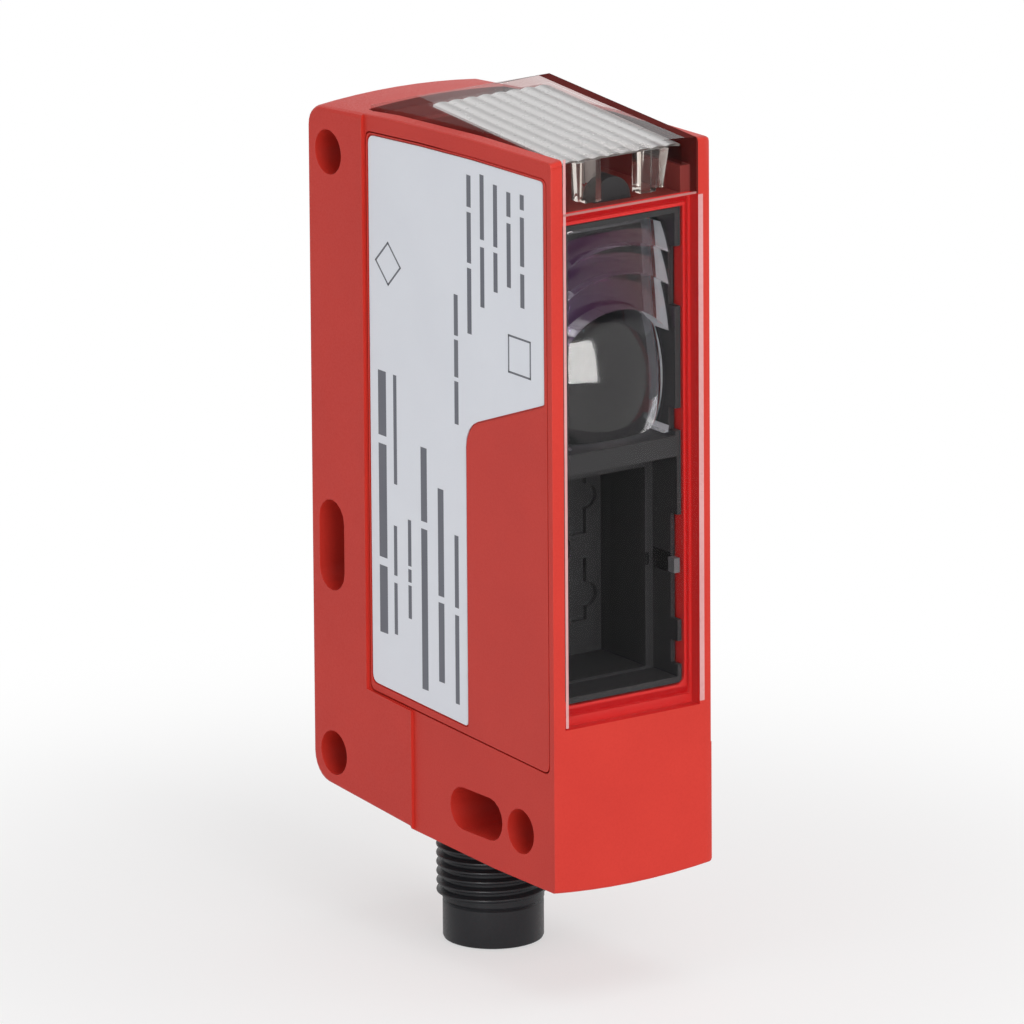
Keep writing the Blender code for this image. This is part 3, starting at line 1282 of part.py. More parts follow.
def build_boards(parts, guides):
    """Main board with its parts, receiver board, indicator board and lamps."""
    board_green = make_material("main board", (0.02, 0.17, 0.07), 0.5)
    board = box(
        "main_board",
        (X_BOARD, X_BOARD_INNER),
        (inset(MAIN_BOARD_FRONT_INSET), MAIN_BOARD_REAR),
        (MAIN_BOARD_BOTTOM_Z, MAIN_BOARD_TOP_Z),
        parts,
    )
    for index, place in enumerate((LOWER_BOSS, UPPER_BOSS), start=1):
        hole = (X_BOARD - LAP, X_BOARD_INNER + LAP)
        width = SCREW_DIAMETER + 2 * FIT_GAP
        cut(board, rod(f"board_hole_{index}", "X", (0, *place), hole, width, guides, 12))
        head_in = X_BOARD - FILM_GAP
        head = SCREW_HEAD_DIAMETER / 2
        shank = SCREW_DIAMETER / 2
        tip = head_in + SCREW_LENGTH
        profile = [(0, tip), (shank, tip - shank / 2), (shank, head_in), (head, head_in)]
        profile += [(head, head_in - SCREW_HEAD), (0, head_in - SCREW_HEAD)]
        screw = turned(f"board_screw_{index}", "X", (0, *place), profile, parts, segments=12)
        finish(screw, make_material("screw steel", (0.6, 0.6, 0.6), 0.3, 1.0), smooth=True)
    finish(board, board_green)

    joint = X_BOARD_INNER + BOARD_JOINT_GAP
    top = CARRIER_BASE_Z - SEAT_GAP
    receiver_board = box(
        "receiver_board",
        (joint, X_MID + CARRIER_INNER_WIDTH / 2 + CARRIER_WALL),
        (CHAMBER_REAR_FACE + SEAT_GAP, RECEIVER_BOARD_REAR),
        (top - BOARD_THICKNESS, top),
        parts,
    )
    finish(receiver_board, make_material("receiver board", (0.02, 0.16, 0.07), 0.5))
    detector_top = top + FILM_GAP + DETECTOR_HEIGHT
    detector = box(
        "receiver_diode",
        centred(DETECTOR_WIDTH),
        (MIRROR_Y - DETECTOR_LENGTH / 2, MIRROR_Y + DETECTOR_LENGTH / 2),
        (top + FILM_GAP, detector_top),
        parts,
    )
    window = box(
        "detector_window",
        centred(DETECTOR_WINDOW),
        (MIRROR_Y - DETECTOR_WINDOW / 2, MIRROR_Y + DETECTOR_WINDOW / 2),
        (detector_top - DETECTOR_WINDOW_DEPTH, detector_top + OVERSHOOT),
        guides,
    )
    cut(detector, window)
    finish(detector, make_material("detector package", (0.05, 0.05, 0.055), 0.3))

    chip_foot = X_BOARD_INNER + FILM_GAP
    regulator_rear = MAIN_BOARD_REAR - CHIP_EDGE_GAP
    controller_rear = regulator_rear - REGULATOR_WIDTH - CHIP_SPACING
    controller_front = controller_rear - CONTROLLER_SIZE
    chips = {
        "controller_chip": (controller_rear, CONTROLLER_SIZE, CONTROLLER_RISE, CONTROLLER_SIZE),
        "voltage_regulator": (regulator_rear, REGULATOR_WIDTH, REGULATOR_RISE, REGULATOR_LENGTH),
    }
    for name, (rear, width, lift, length) in chips.items():
        low = MAIN_BOARD_BOTTOM_Z + lift
        chip = box(name, (chip_foot, chip_foot + CHIP_HEIGHT), (rear - width, rear), (low, low + length), parts)
        finish(chip, make_material(name, (0.025, 0.025, 0.027), 0.45))
    capacitor_top = EMITTER_Z - EMITTER_BOARD_DROP - 2 * FIT_GAP
    for index in range(CAPACITOR_COUNT):
        near = controller_front + CAPACITOR_PITCH * index
        capacitor = box(
            f"capacitor_{index + 1}",
            (chip_foot, chip_foot + CAPACITOR_HEIGHT),
            (near, near + CAPACITOR_WIDTH),
            (capacitor_top - CAPACITOR_LENGTH, capacitor_top),
            parts,
        )
        finish(capacitor, make_material("capacitor", (0.55, 0.42, 0.2), 0.5))

    lamp_board_top = SHELF_Z - INDICATOR_BOARD_GAP
    lamp_board = box(
        "indicator_board",
        (joint, X_MID + CARRIER_INNER_WIDTH / 2 + CARRIER_WALL),
        (LAMP_Y - INDICATOR_BOARD_FRONT, LAMP_Y + INDICATOR_BOARD_REAR),
        (CARRIER_TOP_Z + FIT_GAP, lamp_board_top),
        parts,
    )
    finish(lamp_board, make_material("indicator board", (0.02, 0.16, 0.07), 0.5))
    colours = {"green_lamp": (-1, (0.1, 0.6, 0.15)), "yellow_lamp": (1, (0.85, 0.6, 0.05))}
    for name, (side, colour) in colours.items():
        middle = X_MID + side * LAMP_OFFSET
        lamp = box(
            name,
            (middle - LAMP_SIZE / 2, middle + LAMP_SIZE / 2),
            (LAMP_Y - LAMP_SIZE / 2, LAMP_Y + LAMP_SIZE / 2),
            (lamp_board_top + FILM_GAP, lamp_board_top + FILM_GAP + LAMP_HEIGHT),
            parts,
        )
        bevel = lamp.modifiers.new("soft edges", "BEVEL")
        bevel.width = LAMP_SIZE / 8
        bevel.segments = 2
        finish(lamp, make_material(name, colour, 0.2))


def build_plug(parts, guides):
    """M12 plug: threaded shell, nut, seal, contact carrier, four pins and their board."""
    axis = (X_MID, PLUG_Y, 0)
    thread_top = PLUG_SEAT_Z - 0.0003
    collar_top = PLUG_END_Z + PLUG_COLLAR
    crest = PLUG_DIAMETER / 2
    root = crest - PLUG_THREAD_DEPTH
    neck = PLUG_NECK_DIAMETER / 2
    collar = PLUG_COLLAR_DIAMETER / 2
    bore = PLUG_BORE_DIAMETER / 2
    profile = [(neck, PLUG_NECK_TOP_Z), (neck, PLUG_SEAT_Z), (root, PLUG_SEAT_Z), (root, thread_top)]
    pitch = (thread_top - collar_top) / round((thread_top - collar_top) / PLUG_THREAD_PITCH)
    for turn in range(round((thread_top - collar_top) / PLUG_THREAD_PITCH)):
        start = thread_top - turn * pitch
        profile += [(crest, start - pitch * 0.4), (crest, start - pitch * 0.6), (root, start - pitch)]
    profile += [(collar, collar_top - LAP), (collar, PLUG_END_Z + LAP), (collar - LAP, PLUG_END_Z)]
    profile += [(bore, PLUG_END_Z), (bore, PLUG_NECK_TOP_Z)]
    shell = turned("connector_shell", "Z", axis, profile, parts, segments=32)
    key_depth = bore - 0.0005
    key = box(
        "plug_key",
        (X_MID - PLUG_KEY_WIDTH / 2, X_MID + PLUG_KEY_WIDTH / 2),
        (PLUG_Y + key_depth, PLUG_Y + bore + LAP),
        (PLUG_END_Z + 0.0010, PLUG_END_Z + PLUG_SOCKET_DEPTH - SEAT_GAP),
        guides,
    )
    join(shell, key)
    finish(shell, make_material("plug plastic", (0.035, 0.037, 0.04), 0.45), smooth=True)

    nut_z = (CAVITY_FLOOR_Z + SEAT_GAP, CAVITY_FLOOR_Z + SEAT_GAP + PLUG_NUT_HEIGHT)
    width = (PLUG_NECK_DIAMETER + 2 * PLUG_NUT_WALL) / math.cos(math.pi / 6)
    nut = rod("connector_nut", "Z", axis, nut_z, width, parts, 6)
    opening = PLUG_NECK_DIAMETER + 2 * FIT_GAP
    cut(nut, rod("nut_opening", "Z", axis, (nut_z[0] - LAP, nut_z[1] + LAP), opening, guides, 28))
    finish(nut, make_material("nut brass", (0.7, 0.6, 0.35), 0.35, 1.0))

    seal_z = PLUG_SEAT_Z + FILM_GAP + SEAL_SECTION / 2
    seal = ring_seal("connector_seal", "Z", (X_MID, PLUG_Y, seal_z), neck + FILM_GAP, parts)
    finish(seal, make_material("plug rubber", (0.02, 0.02, 0.02), 0.7), smooth=True)

    carrier_z = (PLUG_END_Z + PLUG_SOCKET_DEPTH, PLUG_CARRIER_TOP_Z)
    carrier = rod("contact_carrier", "Z", axis, carrier_z, 2 * bore - FIT_GAP, parts, 28)
    board_z = (PLUG_PIN_TOP_Z - 0.0010, PLUG_PIN_TOP_Z - 0.0010 + BOARD_THICKNESS)
    board = rod("connector_board", "Z", axis, board_z, PLUG_BOARD_DIAMETER, parts, 24)
    pin_end = PLUG_END_Z + PLUG_PIN_RECESS
    radius = PLUG_PIN_DIAMETER / 2
    profile = [(0, PLUG_PIN_TOP_Z), (radius, PLUG_PIN_TOP_Z), (radius, pin_end + radius), (radius / 2, pin_end)]
    profile.append((0, pin_end))
    gold = make_material("contact gold", (0.83, 0.62, 0.25), 0.25, 1.0)
    for index in range(4):
        angle = math.radians(45 + 90 * index)
        place = Vector(axis) + PLUG_PIN_CIRCLE / 2 * Vector((math.cos(angle), math.sin(angle), 0))
        pin = turned(f"contact_pin_{index + 1}", "Z", place, profile, parts, segments=10)
        finish(pin, gold, smooth=True)
        width = PLUG_PIN_DIAMETER + FIT_GAP
        for name, thing, (low, high) in (("carrier", carrier, carrier_z), ("board", board, board_z)):
            hole = rod(f"{name}_hole_{index}", "Z", place, (low - LAP, high + LAP), width, guides, 10)
            cut(thing, hole)
    finish(carrier, make_material("carrier plastic", (0.03, 0.03, 0.03), 0.5))
    finish(board, make_material("connector board", (0.02, 0.16, 0.07), 0.5))

    # Flat lead that rises from the plug's board to the main board.
    start_x = X_MID - PLUG_PIN_CIRCLE / 2 - OVERSHOOT / 2
    low = board_z[1] + FILM_GAP
    wall = X_BOARD_INNER + FILM_GAP
    film = FLEX_THICKNESS
    lead_top = MAIN_BOARD_BOTTOM_Z + FLEX_RISE
    strip = rounded(
        [
            (start_x, low, 0),
            (start_x, low + film, 0),
            (wall + film, low + film, FLEX_BEND),
            (wall + film, lead_top, 0),
            (wall, lead_top, 0),
            (wall, low, FLEX_BEND + film),
        ]
    )
    lead_y = (PLUG_Y - FLEX_WIDTH / 2, PLUG_Y + FLEX_WIDTH / 2)
    lead = plate("flex_lead", "Y", strip, lead_y, parts)
    finish(lead, make_material("flat lead", (0.55, 0.33, 0.12), 0.4))


def main():
    empty_scene()
    parts = make_collection("background_suppression_sensor")
    guides = make_collection("cutters")
    build_housing(parts, guides)
    build_side_cover(parts, guides)
    build_window_cover(parts, guides)
    build_light_guide(parts, guides)
    build_optics_frame(parts, guides)
    build_receiver_lens(parts, guides)
    build_emitter(parts, guides)
    build_boards(parts, guides)
    build_plug(parts, guides)
    build_lever(parts, guides)
    build_spindle(parts, guides)
    bpy.context.view_layer.update()


main()
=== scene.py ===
import math

import bmesh
import bpy
from mathutils import Matrix, Vector


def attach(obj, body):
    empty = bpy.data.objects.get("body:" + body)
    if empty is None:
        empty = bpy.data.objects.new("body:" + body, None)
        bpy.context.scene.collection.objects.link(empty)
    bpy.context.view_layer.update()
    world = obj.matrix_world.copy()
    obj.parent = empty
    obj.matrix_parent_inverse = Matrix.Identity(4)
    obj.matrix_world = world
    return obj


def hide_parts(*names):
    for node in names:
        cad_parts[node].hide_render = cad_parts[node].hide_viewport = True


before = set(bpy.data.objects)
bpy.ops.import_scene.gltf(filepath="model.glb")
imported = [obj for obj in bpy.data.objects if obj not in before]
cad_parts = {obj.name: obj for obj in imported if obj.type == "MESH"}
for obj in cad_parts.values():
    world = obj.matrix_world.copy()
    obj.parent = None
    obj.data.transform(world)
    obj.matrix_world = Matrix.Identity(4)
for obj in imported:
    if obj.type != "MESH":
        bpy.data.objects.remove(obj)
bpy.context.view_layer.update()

# ---------------------------------------------------------------- Housing
# One deep box moulded in red glass-filled plastic. Its tool is spark eroded,
# which leaves a fine even grain, and the fixing strip along the rear stands
# proud of the label side by 0.3 mm.
MM = 0.001
WIDTH_MID = -10.25 * MM
RED = (0.60, 0.034, 0.021, 1.0)
DEEP_RED = (0.52, 0.025, 0.016, 1.0)
GRAIN_SCALE = 5200.0
SHARP_EDGE = math.radians(32)


def number_faces(faces, number):
    """Give faces the place of their material in the piece's list."""
    for face in faces:
        face.material_index = number


def joined_shape(node):
    """A node's own shape, its loose triangles joined into faces."""
    shape = bmesh.new()
    shape.from_mesh(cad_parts[node].data)
    number_faces(shape.faces, 0)
    bmesh.ops.remove_doubles(shape, verts=shape.verts, dist=0.0015 * MM)
    bmesh.ops.dissolve_limit(
        shape, angle_limit=math.radians(0.4), verts=shape.verts, edges=shape.edges
    )
    return shape


def faces_within(shape, low, high):
    """Faces whose middle lies between two corners, given in millimetres."""
    found = []
    for face in shape.faces:
        middle = face.calc_center_bounds() / MM
        if all(low[way] <= middle[way] <= high[way] for way in range(3)):
            found.append(face)
    return found


def score(shape, faces, point, outward):
    """Cut faces along a plane through a point in millimetres, with nothing removed."""
    edges = {edge for face in faces for edge in face.edges}
    points = {vert for face in faces for vert in face.verts}
    bmesh.ops.bisect_plane(
        shape, geom=list(points) + list(edges) + list(faces), dist=0.0001 * MM,
        plane_co=Vector(point) * MM, plane_no=outward,
    )


def block(shape, low, high, number=0):
    """Box between two corners in millimetres, with its material's number."""
    low, high = Vector(low) * MM, Vector(high) * MM
    made = bmesh.ops.create_cube(
        shape, size=1.0,
        matrix=Matrix.Translation((low + high) / 2) @ Matrix.Diagonal((*(high - low), 1)),
    )
    number_faces({face for vert in made["verts"] for face in vert.link_faces}, number)


def merged_copy(node, body):
    """Visible piece with a node's own shape."""
    return new_piece(node + "_look", joined_shape(node), body, [node])


def new_piece(name, shape, body, stands_for=()):
    """Object at the origin that takes the bmesh and rides on a body of the frame."""
    mesh = bpy.data.meshes.new(name)
    shape.to_mesh(mesh)
    shape.free()
    mesh.shade_smooth()
    mesh.set_sharp_from_angle(angle=SHARP_EDGE)
    piece = bpy.data.objects.new(name, mesh)
    bpy.context.scene.collection.objects.link(piece)
    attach(piece, body)
    if stands_for:
        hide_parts(*stands_for)
    return piece


def soften_edges(piece, width, segments=2):
    """Small radius on the piece's sharp edges, with the flats kept flat in shading."""
    bevel = piece.modifiers.new("edge radius", "BEVEL")
    bevel.width = width
    bevel.segments = segments
    bevel.limit_method = "ANGLE"
    bevel.angle_limit = SHARP_EDGE
    bevel.use_clamp_overlap = True
    bevel.miter_outer = "MITER_ARC"
    flat = piece.modifiers.new("flat faces", "WEIGHTED_NORMAL")
    flat.keep_sharp = True
    flat.weight = 90


def paint(piece, *materials):
    """The piece's materials, in the order of its faces' numbers."""
    for material in materials:
        piece.data.materials.append(material)


def add_socket(group, name, kind, way, value=None):
    """Named socket on a node group, with its value at rest."""
    socket = group.interface.new_socket(name=name, in_out=way, socket_type="NodeSocket" + kind)
    if value is not None:
        socket.default_value = value
    return socket


def moulded_grain_group():
    """Spark-eroded mould grain: fine pits, and a slow drift of colour from the melt."""
    group = bpy.data.node_groups.new("moulded grain", "ShaderNodeTree")
    add_socket(group, "Colour", "Color", "INPUT", (0.5, 0.5, 0.5, 1.0))
    add_socket(group, "Shade", "Color", "INPUT", (0.4, 0.4, 0.4, 1.0))
    add_socket(group, "Grain", "Float", "INPUT", GRAIN_SCALE)
    add_socket(group, "Smooth", "Float", "INPUT", 0.35)
    add_socket(group, "Rough", "Float", "INPUT", 0.5)
    add_socket(group, "Colour", "Color", "OUTPUT")
    add_socket(group, "Roughness", "Float", "OUTPUT")
    add_socket(group, "Height", "Float", "OUTPUT")
    nodes, links = group.nodes, group.links
    start, end = nodes.new("NodeGroupInput"), nodes.new("NodeGroupOutput")
    place = nodes.new("ShaderNodeTexCoord")
    fine = nodes.new("ShaderNodeTexNoise")
    fine.inputs["Detail"].default_value = 3.0
    fine.inputs["Roughness"].default_value = 0.65
    slow = nodes.new("ShaderNodeTexNoise")
    slow.inputs["Scale"].default_value = 95.0
    slow.inputs["Detail"].default_value = 4.0
    links.new(place.outputs["Object"], fine.inputs["Vector"])
    links.new(place.outputs["Object"], slow.inputs["Vector"])
    links.new(start.outputs["Grain"], fine.inputs["Scale"])
    drift = nodes.new("ShaderNodeMapRange")
    drift.inputs["From Min"].default_value = 0.35
    drift.inputs["From Max"].default_value = 0.7
    drift.inputs["To Max"].default_value = 0.45
    links.new(slow.outputs["Fac"], drift.inputs["Value"])
    speck = nodes.new("ShaderNodeMapRange")
    speck.inputs["From Min"].default_value = 0.4
    speck.inputs["From Max"].default_value = 0.75
    speck.inputs["To Max"].default_value = 0.35
    links.new(fine.outputs["Fac"], speck.inputs["Value"])
    both = nodes.new("ShaderNodeMath")
    both.operation = "ADD"
    links.new(drift.outputs["Result"], both.inputs[0])
    links.new(speck.outputs["Result"], both.inputs[1])
    blend = nodes.new("ShaderNodeMix")
    blend.data_type = "RGBA"
    links.new(both.outputs["Value"], blend.inputs["Factor"])
    links.new(start.outputs["Colour"], blend.inputs[6])
    links.new(start.outputs["Shade"], blend.inputs[7])
    gloss = nodes.new("ShaderNodeMapRange")
    gloss.inputs["From Min"].default_value = 0.3
    gloss.inputs["From Max"].default_value = 0.7
    links.new(fine.outputs["Fac"], gloss.inputs["Value"])
    links.new(start.outputs["Smooth"], gloss.inputs["To Min"])
    links.new(start.outputs["Rough"], gloss.inputs["To Max"])
    links.new(blend.outputs[2], end.inputs["Colour"])
    links.new(gloss.outputs["Result"], end.inputs["Roughness"])
    links.new(fine.outputs["Fac"], end.inputs["Height"])
    return group


MOULDED_GRAIN = moulded_grain_group()


def moulded_plastic(name, colour, shade, smooth, rough, grain, depth, strength, shine=0.5):
    """Opaque moulded plastic with the grain of its tool."""
    made = bpy.data.materials.new(name)
    made.use_nodes = True
    made.diffuse_color = colour
    nodes, links = made.node_tree.nodes, made.node_tree.links
    shader = nodes["Principled BSDF"]
    shader.inputs["Specular IOR Level"].default_value = shine
    skin = nodes.new("ShaderNodeGroup")
    skin.node_tree = MOULDED_GRAIN
    skin.inputs["Colour"].default_value = colour
    skin.inputs["Shade"].default_value = shade
    skin.inputs["Grain"].default_value = grain
    skin.inputs["Smooth"].default_value = smooth
    skin.inputs["Rough"].default_value = rough
    relief = nodes.new("ShaderNodeBump")
    relief.inputs["Strength"].default_value = strength
    relief.inputs["Distance"].default_value = depth
    links.new(skin.outputs["Colour"], shader.inputs["Base Color"])
    links.new(skin.outputs["Roughness"], shader.inputs["Roughness"])
    links.new(skin.outputs["Height"], relief.inputs["Height"])
    links.new(relief.outputs["Normal"], shader.inputs["Normal"])
    return made


# Places in millimetres: x from the mounting side, y from the rear holes, z from
# midway between them.
WINDOW_LEFT, WINDOW_RIGHT, WINDOW_LOW = -17.85, -2.65, -19.2
RECESS_LEFT, RECESS_RIGHT, RECESS_LOW, SHELF_TOP = -18.80, -1.70, -21.25, 33.4
FRONT_Y, BEZEL_Y, BEZEL_REAR = -40.1, -38.65, -37.15
ROOF_SPACE_REAR, ABOVE_ALL = -4.9, 42.0
GROOVE_OUTER = (-18.50, -2.00, -20.35, 32.95)
GROOVE_INNER = (-18.10, -2.40, -19.50, 32.35)
GROOVE_DEPTH = 0.30
WINDOW_CORNER = 1.0
PALE_STRIP_EDGE = -1.10
PALE_STRIP_HIGH = 33.3
PALE_STRIP_LOW = -20.9

housing_shape = joined_shape("housing")
window_corners = []
for edge in housing_shape.edges:
    ends = [vert.co / MM for vert in edge.verts]
    if all(
        BEZEL_Y - 0.01 < end.y < BEZEL_REAR + 0.01
        and min(abs(end.x - WINDOW_LEFT), abs(end.x - WINDOW_RIGHT)) < 0.01
        and abs(end.z - WINDOW_LOW) < 0.01
        for end in ends
    ) and abs(ends[0].x - ends[1].x) < 0.01 and abs(ends[0].y - ends[1].y) > 0.5:
        window_corners.append(edge)
bmesh.ops.bevel(
    housing_shape, geom=window_corners, offset=WINDOW_CORNER * MM, offset_type="OFFSET",
    segments=6, profile=0.5, affect="EDGES", material=-1, clamp_overlap=True,
)

bezel_low = (RECESS_LEFT - 0.1, BEZEL_Y - 0.02, RECESS_LOW - 0.1)
bezel_high = (RECESS_RIGHT + 0.1, BEZEL_Y + 0.02, ABOVE_ALL)
bezel = faces_within(housing_shape, bezel_low, bezel_high)
score(housing_shape, bezel, (0, 0, SHELF_TOP), (0, 0, 1))
for left, right, low, high in (GROOVE_OUTER, GROOVE_INNER):
    for point, outward in (
        ((left, 0, 0), (1, 0, 0)), ((right, 0, 0), (1, 0, 0)),
        ((0, 0, low), (0, 0, 1)), ((0, 0, high), (0, 0, 1)),
    ):
        score(housing_shape, faces_within(housing_shape, bezel_low, bezel_high), point, outward)


def inside(face, left, right, low, high):
    """True where the middle of a face lies in an upright rectangle."""
    middle = face.calc_center_bounds() / MM
    return left < middle.x < right and low < middle.z < high


groove = [
    face for face in faces_within(housing_shape, bezel_low, bezel_high)
    if inside(face, *GROOVE_OUTER) and not inside(face, *GROOVE_INNER)
]
bmesh.ops.inset_region(
    housing_shape, faces=groove, thickness=0.06 * MM, depth=-GROOVE_DEPTH * MM, use_even_offset=True
)

post_low, post_high = (RECESS_RIGHT - 40, FRONT_Y - 0.02, -60), (0.1, FRONT_Y + 0.02, 60)
for point, outward in (
    ((PALE_STRIP_EDGE, 0, 0), (1, 0, 0)),
    ((0, 0, PALE_STRIP_LOW), (0, 0, 1)),
    ((0, 0, PALE_STRIP_HIGH), (0, 0, 1)),
):
    score(housing_shape, faces_within(housing_shape, post_low, post_high), point, outward)

inner_low = (RECESS_RIGHT - 0.02, FRONT_Y - 0.1, RECESS_LOW - 0.1)
inner_high = (RECESS_RIGHT + 0.02, ROOF_SPACE_REAR, ABOVE_ALL)
for point, outward in (((0, 0, SHELF_TOP), (0, 0, 1)), ((0, BEZEL_REAR, 0), (0, 1, 0))):
    score(housing_shape, faces_within(housing_shape, inner_low, inner_high), point, outward)

# Bezel faces behind the pane take a lighter, purer red: painted light.
number_faces(faces_within(
    housing_shape, (RECESS_LEFT - 0.05, FRONT_Y + 0.02, RECESS_LOW - 0.05),
    (RECESS_RIGHT + 0.05, BEZEL_REAR + 0.05, SHELF_TOP),
), 1)
# Faces in the compartment under the roof take a darker red: painted shade.
number_faces(faces_within(
    housing_shape, (RECESS_LEFT - 0.05, BEZEL_Y - 0.3, SHELF_TOP - 0.05),
    (RECESS_RIGHT + 0.05, ROOF_SPACE_REAR, ABOVE_ALL),
), 2)
# The strip right of the pane's recess takes a pale pink: painted sheen.
number_faces(faces_within(
    housing_shape, (RECESS_RIGHT - 0.01, FRONT_Y - 0.02, PALE_STRIP_LOW),
    (PALE_STRIP_EDGE, FRONT_Y + 0.02, PALE_STRIP_HIGH),
), 3)
# The groove takes a darker red: painted shade.
number_faces(groove, 4)

# Square post to the left of the pane, with its inner wall in the bezel's polished red, whose lighter
# colour is painted light.
POST_LEFT, POST_REAR, POST_TOP = -20.04, -39.25, 38.6
block(
    housing_shape, (POST_LEFT, FRONT_Y + 0.002, RECESS_LOW), (RECESS_LEFT, POST_REAR, POST_TOP)
)
block(
    housing_shape, (RECESS_LEFT - 0.01, FRONT_Y + 0.1, RECESS_LOW),
    (RECESS_LEFT + 0.005, BEZEL_Y - 0.05, SHELF_TOP), 1,
)

# Straight rim above the side opening. It follows the curved top, which rises inward.
RIM_LINE = (
    (-40.05, 38.9), (-39.9, 39.15), (-39.64, 39.23), (-25.43, 39.0), (-10.77, 38.3), (-6.2, 37.86),
)
RIM_X, RIM_THICKNESS, RIM_RISE, RIM_FOOT = -20.05, 1.25, 0.13, 36.9
rim_outline = (*RIM_LINE, (RIM_LINE[-1][0], RIM_FOOT), (RIM_LINE[0][0], RIM_FOOT))
rim_outer = [housing_shape.verts.new(Vector((RIM_X, y, z)) * MM) for y, z in rim_outline]
rim_face = housing_shape.faces.new(rim_outer)
grown = bmesh.ops.extrude_face_region(housing_shape, geom=[rim_face])["geom"]
rim_inner = [item for item in grown if isinstance(item, bmesh.types.BMVert)]
for vert in rim_inner:
    rise = RIM_RISE if vert.co.z > (RIM_FOOT + 0.1) * MM else 0
    vert.co += Vector((RIM_THICKNESS, 0, rise)) * MM
rim_faces = {face for vert in rim_outer + rim_inner if vert.is_valid for face in vert.link_faces}
bmesh.ops.recalc_face_normals(housing_shape, faces=list(rim_faces))

red_moulding = moulded_plastic(
    "red moulding", RED, DEEP_RED, 0.36, 0.55, GRAIN_SCALE, 0.012 * MM, 0.6, 0.25
)
# The bezel is the housing's own plastic, smoother; its lighter, purer red is painted light.
bezel_red_lit = moulded_plastic(
    "bezel red with painted light", (0.66, 0.030, 0.028, 1.0), (0.60, 0.024, 0.024, 1.0),
    0.16, 0.24, 900.0, 0.001 * MM, 0.1, 0.15,
)
# Darker red in the bezel's groove: painted shade.
groove_shade_red = moulded_plastic(
    "bezel groove painted shade", (0.50, 0.006, 0.008, 1.0), (0.44, 0.004, 0.006, 1.0),
    0.3, 0.4, 900.0, 0.001 * MM, 0.1, 0.08,
)
# Darker copy of the housing red for the compartment under the roof: painted shade.
shaded_chamber_red = moulded_plastic(
    "painted shade red under the roof", (0.25, 0.030, 0.025, 1.0), (0.20, 0.026, 0.022, 1.0),
    0.4, 0.6, GRAIN_SCALE, 0.006 * MM, 0.3, 0.3,
)
# Pale pink along the pane's edges: painted sheen.
pale_edge_sheen = moulded_plastic(
    "pale edge painted sheen", (0.68, 0.35, 0.345, 1.0), (0.58, 0.24, 0.235, 1.0),
    0.25, 0.4, 1600.0, 0.004 * MM, 0.3,
)
housing = new_piece("housing_look", housing_shape, "sensor", ["housing"])
soften_edges(housing, 0.12 * MM)
paint(housing, red_moulding, bezel_red_lit, shaded_chamber_red, pale_edge_sheen, groove_shade_red)

# ---------------------------------------------------------------- Side cover
# Flat red lid let into the label side, laser welded to the housing along its
# rim. It is moulded in the same plastic in a finer tool, with a shallow field
# for the label and a raised tongue at its lower front.
red_cover = moulded_plastic(
    "red cover", RED, DEEP_RED, 0.34, 0.5, GRAIN_SCALE * 1.3, 0.010 * MM, 0.5, 0.25
)
side_cover = merged_copy("side_cover", "sensor")
soften_edges(side_cover, 0.10 * MM)
paint(side_cover, red_cover)

# ---------------------------------------------------------------- Type label
# Silver-grey polyester film, 0.12 mm thick, glued into the cover's field and
# printed in dark grey. Its lines of print are plain bars here, and the places
# of its marks are a bare outline.
FILM_WHITE = (0.80, 0.825, 0.885, 1.0)
FILM_SHADE = (0.74, 0.765, 0.83, 1.0)
PRINT_GREY = (0.10, 0.105, 0.135, 1.0)
PRINT_X = -20.124 * MM
PRINT_THICKNESS = 0.004 * MM
PRINT_THINNING = 0.17

label_film = moulded_plastic(
    "label film", FILM_WHITE, FILM_SHADE, 0.30, 0.42, 9000.0, 0.002 * MM, 0.2
)
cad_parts["type_label"].material_slots[0].material = label_film

PRINT_LINES = (
    # rear edge, front edge, low end and high end of each line, then its words' lengths
    (-7.95, -10.15, -17.5, 10.9, (7.3, 12.3, 7.0)),
    (-10.85, -11.75, -17.2, -5.4, (5.6, 5.4)),
    (-10.95, -11.85, -0.9, 10.9, (11.8,)),
    (-13.45, -14.35, -14.9, -4.2, (3.6, 1.4, 5.0)),
    (-15.75, -17.45, -22.0, 4.2, (17.4, 8.0)),
    (-18.85, -20.45, -20.5, 0.4, (8.6, 11.6)),
    (-21.95, -23.05, -22.2, -4.0, (9.6, 7.8)),
    (-22.15, -23.25, 8.0, 21.9, (4.6, 4.0, 4.4)),
    (-24.60, -25.75, 18.2, 35.1, (7.0, 5.4, 3.4)),
    (-27.00, -28.10, 21.5, 35.6, (6.4, 6.9)),
    (-29.40, -30.50, 23.6, 35.0, (4.2, 6.6)),
    (-31.80, -32.90, 24.6, 34.7, (6.8, 2.6)),
    (-34.20, -35.30, 22.9, 34.9, (3.6, 5.2, 1.6)),
)


def ink(shape, rear, front, low, high, turn=0.0):
    """Thin printed rectangle on the label, from its edges in millimetres."""
    middle = Vector((PRINT_X, (rear + front) / 2 * MM, (low + high) / 2 * MM))
    size = Matrix.Diagonal((PRINT_THICKNESS, (rear - front) * MM, (high - low) * MM, 1))
    turned = Matrix.Rotation(math.radians(turn), 4, "X")
    bmesh.ops.create_cube(shape, size=1.0, matrix=Matrix.Translation(middle) @ turned @ size)


def ink_frame(shape, centre_y, centre_z, side, stroke, turn):
    """Square outline in four strokes round a bare place."""
    for quarter in range(4):
        angle = math.radians(turn + 90 * quarter)
        reach = (side - stroke) / 2
        y = centre_y + reach * math.cos(angle)
        z = centre_z + reach * math.sin(angle)
        ink(shape, y + stroke / 2, y - stroke / 2, z - side / 2, z + side / 2, turn + 90 * quarter)


